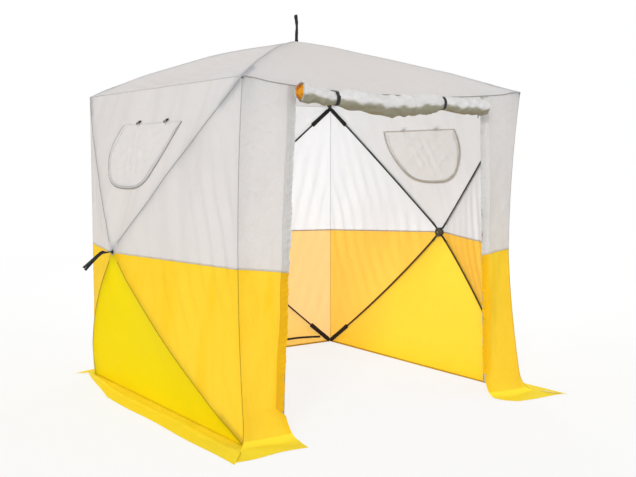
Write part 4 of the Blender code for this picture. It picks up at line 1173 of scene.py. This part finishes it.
for name, (rows, columns) in CORNERS.items():
    cloth = PANELS[name]
    for (row, up_way), (column, across_way) in product(zip(rows, (-1, 1)),
                                                       zip(columns, (-1, 1))):
        corner, ways = f"{row}_{column}", np.array((across_way, up_way))
        points, flat = rod_line(cloth, ways, PIVOT - 0.004, ROD_SHORT, 90)
        from_hub = np.hypot(*flat.T)
        radius = np.where(from_hub < PIVOT + FERRULE_LENGTH, FERRULE_RADIUS, ROD_RADIUS)
        radius = np.where(from_hub < PIVOT + EYE_LENGTH, EYE_RADIUS, radius)
        rod = swept(f"{name}_rod_{corner}", points, cloth["normal"],
                    round_outline(1.0) * radius[:, None, None], BLACK_FIBRE)
        fitted(move_with_hub(rod), "black_rod", None,
               f"{name}_pole_{corner}")
        points, flat = rod_line(cloth, ways, np.hypot(*cloth["half"]) - POUCH_START, POUCH_END,
                                24)
        along = np.linspace(0, 1, 24)
        swell = 1 - 0.12 * np.sin(along * math.pi) - 0.35 * np.clip((along - 0.85) / 0.15, 0, 1)
        swell = swell * (1 - 0.10 * np.exp(-(along / 0.04) ** 2))
        shape = oval(POUCH_WIDTH, POUCH_THICKNESS, 16) * swell[:, None, None]
        pouch = swept_flat(f"{name}_corner_pouch_{corner}", cloth, points, shape, BLACK_WEBBING)
        fitted(move_with_hub(pouch), "black_webbing")


# Hubs and pull straps
# A hub is a disc of moulded nylon with four slots for the rods and a cover held by a centre
# screw. The cloth has a metal eyelet over it, where the doubled webbing of the pull strap comes
# out from its pin. A wall's strap hangs as a fork, and the roof's stands up.
HUB_LENGTH = 0.024
CAP_FACE = HUB_LENGTH / 2 + 0.0034 + 0.0020
EYELET_RADIUS = 0.0148
PIN_OUT = 0.009
PIN_ROUND = 0.0046
STRAP_WIDTH = 0.018
STRAP_PLY = 0.0017
STRAP_POINTS = 70
STRAP_TWIST = 1.35
STRAP_FORK = 0.024
SCREW_RADII = [0.0001, 0.0052, 0.0060, 0.0060, 0.0054, 0.0040, 0.0022, 0.0018, 0.0001]
SCREW_LEVELS = [-0.001, -0.001, -0.001, 0.0006, 0.0016, 0.0022, 0.0024, 0.0010, 0.0008]
RIM_RADII = [0.0118, 0.0150, 0.0180, 0.0184, 0.0170, 0.0140, 0.0112, 0.0106]
RIM_LEVELS = [-0.0012, -0.0012, -0.0008, 0.0006, 0.0014, 0.0022, 0.0016, 0.0002]
ROOF_STRAP = [(0, 0), (0, 0.030), (-0.003, 0.075), (0.000, 0.113), (0.0085, 0.147)]
WALL_STRAP = [(0, 0), (0, 0.030), (-0.002, 0.054), (-0.036, 0.098), (-0.079, 0.147)]


def nylon_material(name, colour, light):
    """Glass-filled nylon from a spark-eroded mould. The eye sees a dull, faintly pebbled face."""
    made = new_material(name)
    place = add_node(made, "TexCoord", want="Object")
    cloud = add_node(made, "TexNoise", {"Vector": place, "Scale": 60.0})
    painted = add_node(made, "Mix", {0: cloud, 6: colour, 7: light}, 2, data_type="RGBA")
    pebble = add_node(made, "TexNoise", {"Vector": place, "Scale": 700.0})
    relief = add_node(made, "Bump", {"Height": pebble, "Distance": 0.0004, "Strength": 0.5})
    return surfaced(made, {"Base Color": painted, "Roughness": 0.52, "Normal": relief})


def steel_material(name, colour, dark):
    """Zinc-plated steel. The eye sees a soft grey metal with slightly cloudy gloss."""
    made = new_material(name)
    place = add_node(made, "TexCoord", want="Object")
    cloud = add_node(made, "TexNoise", {"Vector": place, "Scale": 220.0, "Detail": 3.0})
    painted = add_node(made, "Mix", {0: cloud, 6: colour, 7: dark}, 2, data_type="RGBA")
    rough = add_node(made, "MapRange", {"Value": cloud, "To Min": 0.26, "To Max": 0.46})
    return surfaced(made, {"Base Color": painted, "Metallic": 1.0, "Roughness": rough})


NYLON = nylon_material("glass_filled_nylon", "30302B", "47463D")
STEEL = steel_material("zinc_plated_steel", "B9B9B6", "8E8E8A")


def repaint(node, finish):
    """Gives a CAD node its finish."""
    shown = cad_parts[node]
    shown.data.materials.clear()
    shown.data.materials.append(finish)


def turned_piece(name, radii, heights, place, axis, finish, sides=32):
    """A profile of radii and heights turned about an axis, closed at both ends."""
    side = unit(np.cross(axis, (0.3, 0.5, 0.8)))
    ring = round_outline(1.0, sides) @ np.array([side, np.cross(axis, side)])
    path = np.array(place) + np.asarray(heights)[:, None] * np.array(axis)
    rings = path[:, None] + np.asarray(radii)[:, None, None] * ring
    faces = grid_quads(len(radii), sides, False, True)[0].tolist() + end_faces(len(radii), sides)
    return add_piece(name, rings.reshape(-1, 3), faces, np.zeros((len(radii) * sides, 2)), finish)


def smooth_line(points, count):
    """A Catmull-Rom curve: each span is a cubic whose ends have the slope of the line between
    the neighbours."""
    knots = np.asarray(points, float)
    ends = np.concatenate([2 * knots[:1] - knots[1:2], knots, 2 * knots[-1:] - knots[-2:-1]])
    t = np.linspace(0, len(knots) - 1 - 1e-9, count)
    span = t.astype(int)
    u = (t - span)[:, None]
    p0, p1, p2, p3 = (ends[span + i] for i in range(4))
    return 0.5 * (2 * p1 + (p2 - p0) * u + (2 * p0 - 5 * p1 + 4 * p2 - p3) * u ** 2
                  + (3 * p1 - p0 - 3 * p2 + p3) * u ** 3)


for name, cloth in PANELS.items():
    hub, strap_body, normal, up = cloth["hub"], f"{name}_pull_strap", cloth["normal"], cloth["up"]
    repaint(hub, NYLON)
    repaint(f"{hub}_cap", NYLON)
    middle = cloth["centre"] + (cloth["pop"] - ROD_UNDER) * normal
    fitted(turned_piece(f"{name}_hub_screw", SCREW_RADII, SCREW_LEVELS,
                        middle - CAP_FACE * normal, -normal, STEEL), "zip_metal", hub)
    surface = cloth["centre"] + (cloth["pop"] + 0.0010) * normal
    spokes = round_outline(1.0, 40) @ np.array([cloth["across"], up])
    profile = np.stack([np.array(RIM_RADII) - EYELET_RADIUS, RIM_LEVELS], axis=1)
    fitted(swept(f"{name}_strap_eyelet", surface + EYELET_RADIUS * spokes, spokes, profile,
                 STEEL, closed=True), "zip_metal", hub)
    pin = middle + (ROD_UNDER + PIN_OUT) * normal
    middle_line = smooth_line(ROOF_STRAP if name == "roof" else WALL_STRAP, STRAP_POINTS)
    share = np.linspace(0, 1, STRAP_POINTS)
    twist = STRAP_TWIST * np.exp(-((share - 0.52) / 0.24) ** 2) + 0.45 * share ** 3
    gap = (0.0011 + 0.0035 * np.exp(-(share / 0.10) ** 2)
           + STRAP_FORK * np.clip(share - 0.62, 0, 1))
    across = np.cross(up, normal)
    centre_line = pin + middle_line[:, :1] * up + middle_line[:, 1:] * normal
    over = np.cross(unit(np.gradient(centre_line, axis=0)), across)
    cos, sin = np.cos(twist)[:, None], np.sin(twist)[:, None]
    width = cos * across - sin * over
    offset = gap[:, None] * (cos * over + sin * across)
    turn = np.linspace(-math.pi / 2, math.pi / 2, 9)[1:-1, None]
    round_pin = pin - PIN_ROUND * (np.cos(turn) * normal - np.sin(turn) * over[0])
    path = np.concatenate([(centre_line + offset)[::-1], round_pin, centre_line - offset])
    aside = np.concatenate([width[::-1], np.repeat(width[:1], 7, axis=0), width])
    fitted(swept(f"{name}_strap_webbing", path, aside, oval(STRAP_WIDTH, STRAP_PLY, 10),
                 BLACK_WEBBING), "black_webbing", strap_body, strap_body)
    box_path = pin + np.linspace(0.020, 0.036, 9)[:, None] * normal
    fitted(swept(f"{name}_strap_bar_tack", box_path, across,
                 oval(STRAP_WIDTH * 0.86, 0.0062, 10), BLACK_WEBBING), "black_webbing",
           strap_body)


# Door
# The door is one sheet of the grey and yellow cloth. It is rolled up outwards from its foot, so
# that its yellow part lies inside, and two webbing straps hold the roll under the eave.
ROLL_ENDS = (-0.612, 0.588)
ROLL_STRAPS = (-0.412, 0.268)
ROLL_BULGE = 0.013
ROLL_SAG = 0.022
ROLL_OUTER = 0.040
ROLL_INNER = 0.009
ROLL_TURNS = 10.4
ROLL_DEEP = 0.94
ROLL_TALL = 1.06
PINCH = 0.22
PINCH_REACH = 0.040
RUCK_DEPTH = 0.062
FLARE = 0.22
ROLL_ROWS = 150
ROLL_COLUMNS = 330
WEB_COLUMNS = 9
ROLL_Y = FRONT_Y - 0.040
ROLL_Z = EAVE - 0.088
YELLOW_FROM = 0.88
ROLLED_CLOTH = cloth_material("rolled_door_cloth", "E6E5E4", "E4E4E2", glow=0.16, crinkle=0.026,
                              cut_colour_and_facet_shade="FFB70C", painted_under_shade_colour="9C9884")


def between_straps(x):
    """0 at the two straps and outside them, and 1 midway between them, as a sine."""
    left, right = ROLL_STRAPS
    return np.sin(math.pi * np.clip((x - left) / (right - left), 0, 1))


def roll_drop(x):
    """How far the roll hangs: a squared sine between the straps. Its left end is drawn up by the
    power 1.5 of the way to the end, and its right end hangs by a sine.
    """
    left_tail, right_tail = (np.clip((x - strap) / (end - strap), 0, 1)
                             for strap, end in zip(ROLL_STRAPS, ROLL_ENDS))
    return (ROLL_SAG * between_straps(x) ** 2 - 0.024 * left_tail ** 1.5
            + 0.012 * np.sin(math.pi / 2 * right_tail) - 0.004)


def roll_section(x, turn, radius):
    """A point of the roll at an angle from the back, through the top, and a radius.

    The straps pinch it by a bell curve, and it is loose between them. Rucks run round it as
    ridged sines of the place along it, and it is a little taller than it is deep.
    """
    from_strap = np.minimum(*(np.abs(x - strap) for strap in ROLL_STRAPS))
    pinch = np.exp(-(from_strap / PINCH_REACH) ** 2)
    loose = ROLL_BULGE * between_straps(x) ** 0.5
    bent = x * 25 + 3.4 * np.sin(turn + 5 * x) + 1.8 * np.sin(13 * x)
    rucks = (0.7 * np.sin(x * 23 + 2.2 * np.sin(turn)) + 0.4 * np.sin(x * 51 - 3 * np.cos(turn))
             + 1.4 - 2.8 * np.abs(np.sin(bent)) ** 0.8)
    slack = 1 + (RUCK_DEPTH * rucks + 0.06 * np.sin(3 * turn + x * 9)) * (1 - 0.5 * pinch)
    flare = FLARE * np.clip((-0.52 - x) / 0.11, 0, 1) ** 1.5
    size = radius * slack * (1 - PINCH * pinch) * (1 + loose / ROLL_OUTER + flare)
    return (ROLL_Y - loose + ROLL_DEEP * size * np.cos(turn),
            ROLL_Z - roll_drop(x) + ROLL_TALL * size * np.sin(turn))


places = np.linspace(*ROLL_ENDS, ROLL_ROWS)
turn, x = np.meshgrid(np.linspace(0, -2 * math.pi * ROLL_TURNS, ROLL_COLUMNS), places)
spread, _ = np.meshgrid(np.linspace(ROLL_OUTER, ROLL_INNER, ROLL_COLUMNS), places)
y, z = roll_section(x, turn, spread)
outer_share = (spread - ROLL_INNER) / (ROLL_OUTER - ROLL_INNER)
at_end = np.clip(np.where(x < 0, x / ROLL_ENDS[0], x / ROLL_ENDS[1]), 0, 1) ** 8
stagger = (1 - outer_share) * at_end * np.where(x < 0, -0.020, 0.008)
rolled = np.stack([x + stagger, y, z], axis=-1)
top = np.stack([places, np.full(ROLL_ROWS, FRONT_Y - 0.0012), EAVE - 0.001 - eave_sag(places)],
               axis=-1)[:, None]
web = top + (rolled[:, :1] - top) * np.linspace(0, 1, WEB_COLUMNS)[None, :, None]
points = np.concatenate([web[:, :-1], rolled], axis=1)
length = run(points[ROLL_ROWS // 2])[:-1]
laid = np.stack(np.broadcast_arrays(places[:, None] - ROLL_ENDS[0], length[None]), axis=-1)
door = sheet_grid("rolled_door", points, laid, ROLLED_CLOTH, flipped=True)
# On the door the mark is the real change from grey to yellow cloth.
mark(door, "cut_and_facet_shade", np.tile(np.clip((length - YELLOW_FROM) / 0.006, 0, 1), ROLL_ROWS))
# The roll's outer turn is marked, with a ragged edge, where it faces down, to take an olive grey
# painted shade.
ragged = 0.10 + 0.10 * np.sin(37 * x) + 0.07 * np.sin(83 * x + 1)
down = np.clip((-np.sin(turn) - ragged) / 0.22, 0, 1) * (outer_share > 0.9)
mark(door, "under", np.pad(down, ((0, 0), (WEB_COLUMNS - 1, 0))).ravel())
fitted(door, "rolled_cloth", "cover", "door_roll")
for (side_name, _), x in zip(SIDES, ROLL_STRAPS):
    y, z = roll_section(x, np.radians(np.linspace(118, 352, 60)), ROLL_OUTER + 0.0030)
    hung = EAVE - eave_sag(x)
    path = [(x, FRONT_Y - 0.004, hung - 0.003), (x, FRONT_Y - 0.012, hung - 0.004),
            *((x, *spot) for spot in zip(y, z)),
            (x, FRONT_Y + 0.004, hung - 0.024), (x, FRONT_Y + 0.003, hung - 0.004)]
    fitted(swept(f"door_roll_band_{side_name}", path, (1, 0, 0), oval(0.024, 0.0022, 10),
                 BLACK_WEBBING), "black_webbing", "cover", f"door_roll_strap_{side_name}")


# Door zips
# A coil zip runs down behind each hem, on a woven tape, with a die-cast slider and a pull tab.
ZIP_TOP = EAVE - 0.060
ZIP_FOOT = 0.080
ZIP_Y = FRONT_Y + 0.015 + 0.002 + 0.006
ZIP_EDGE = (0.605, 0.664)
ZIP_LAP = 0.018
for side_name, side in SIDES:
    levels = np.linspace(ZIP_TOP, ZIP_FOOT, 180)
    free_edge = ZIP_EDGE[0] + (ZIP_EDGE[1] - ZIP_EDGE[0]) * (1 - levels / EAVE)
    tape_line = np.stack([side * (free_edge + ZIP_LAP), np.full(180, ZIP_Y), levels], axis=1)
    fitted(swept(f"{side_name}_door_zip_tape", tape_line, (1, 0, 0), oval(0.026, 0.0014), TAPE),
           "zip_tape", "cover", f"{side_name}_door_zip")
    fitted(swept(f"{side_name}_door_zip_coil", tape_line - (side * 0.008, 0, 0), (1, 0, 0),
                 oval(0.0055, 0.0030), ZIP_COIL), "zip_tape", "cover")
    slider = f"{side_name}_zip_slider"
    repaint(slider, STEEL)
    low, high = (np.array(corner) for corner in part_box(slider))
    hang = np.array(((low[0] + high[0]) / 2, high[1] + 0.0016, low[2] + 0.012))
    pull_line = smooth_line([hang + (0, forward, -drop) for forward, drop in
                             ((0, 0), (0.0022, 0.010), (0.0016, 0.030), (0.0010, 0.048))], 24)
    widths = 0.0075 - 0.0028 * np.exp(-((np.linspace(0, 1, 24) - 0.12) / 0.14) ** 2)
    fitted(swept(f"{side_name}_zip_pull", pull_line, (1, 0, 0),
                 oval(1.0, 0.22, 10) * widths[:, None, None], STEEL), "zip_metal",
           f"{side_name}_slider")


# Corner caps and base webbing
# A small moulded cap covers each corner of the eaves, where three seams meet. Inside, a strap of
# webbing runs along the foot of the back wall and holds its two corners together.
CAP_HALF = 0.0062
CAP_IN = 0.004
CAP_NYLON = nylon_material("grey_nylon_cap", "4C4B49", "6A6966")
turn = np.linspace(0, math.pi, 15)
for (row, y), (side_name, side) in product((("front", FRONT_Y + CAP_IN),
                                            ("back", BACK_Y - CAP_IN)), SIDES):
    fitted(turned_piece(f"eave_cap_{row}_{side_name}",
                        CAP_HALF * np.clip(np.sin(turn), 0.01, 1) ** 0.55,
                        -CAP_HALF * np.cos(turn),
                        (side * (HALF_WIDTH - CAP_IN), y, EAVE - 0.006),
                        np.array((0.0, 0.0, 1.0)), CAP_NYLON, 24), "hub_plastic", "cover")
x = np.linspace(-0.80, 0.80, 120)
sag = 0.062 - 0.016 * np.clip((np.abs(x) - 0.58) / 0.22, 0, 1) ** 1.5 + 0.002 * np.sin(x * 9)
y = BACK_Y - 0.010 - 0.006 * np.cos(x * math.pi / 1.6) + 0.002 * np.sin(x * 14)
base = swept("back_base_webbing", np.stack([x, y, sag], axis=1), (0, 0, 1),
             oval(0.015, 0.0024, 10), BLACK_WEBBING)
fitted(base, "black_webbing", "cover", "back_base_strap")
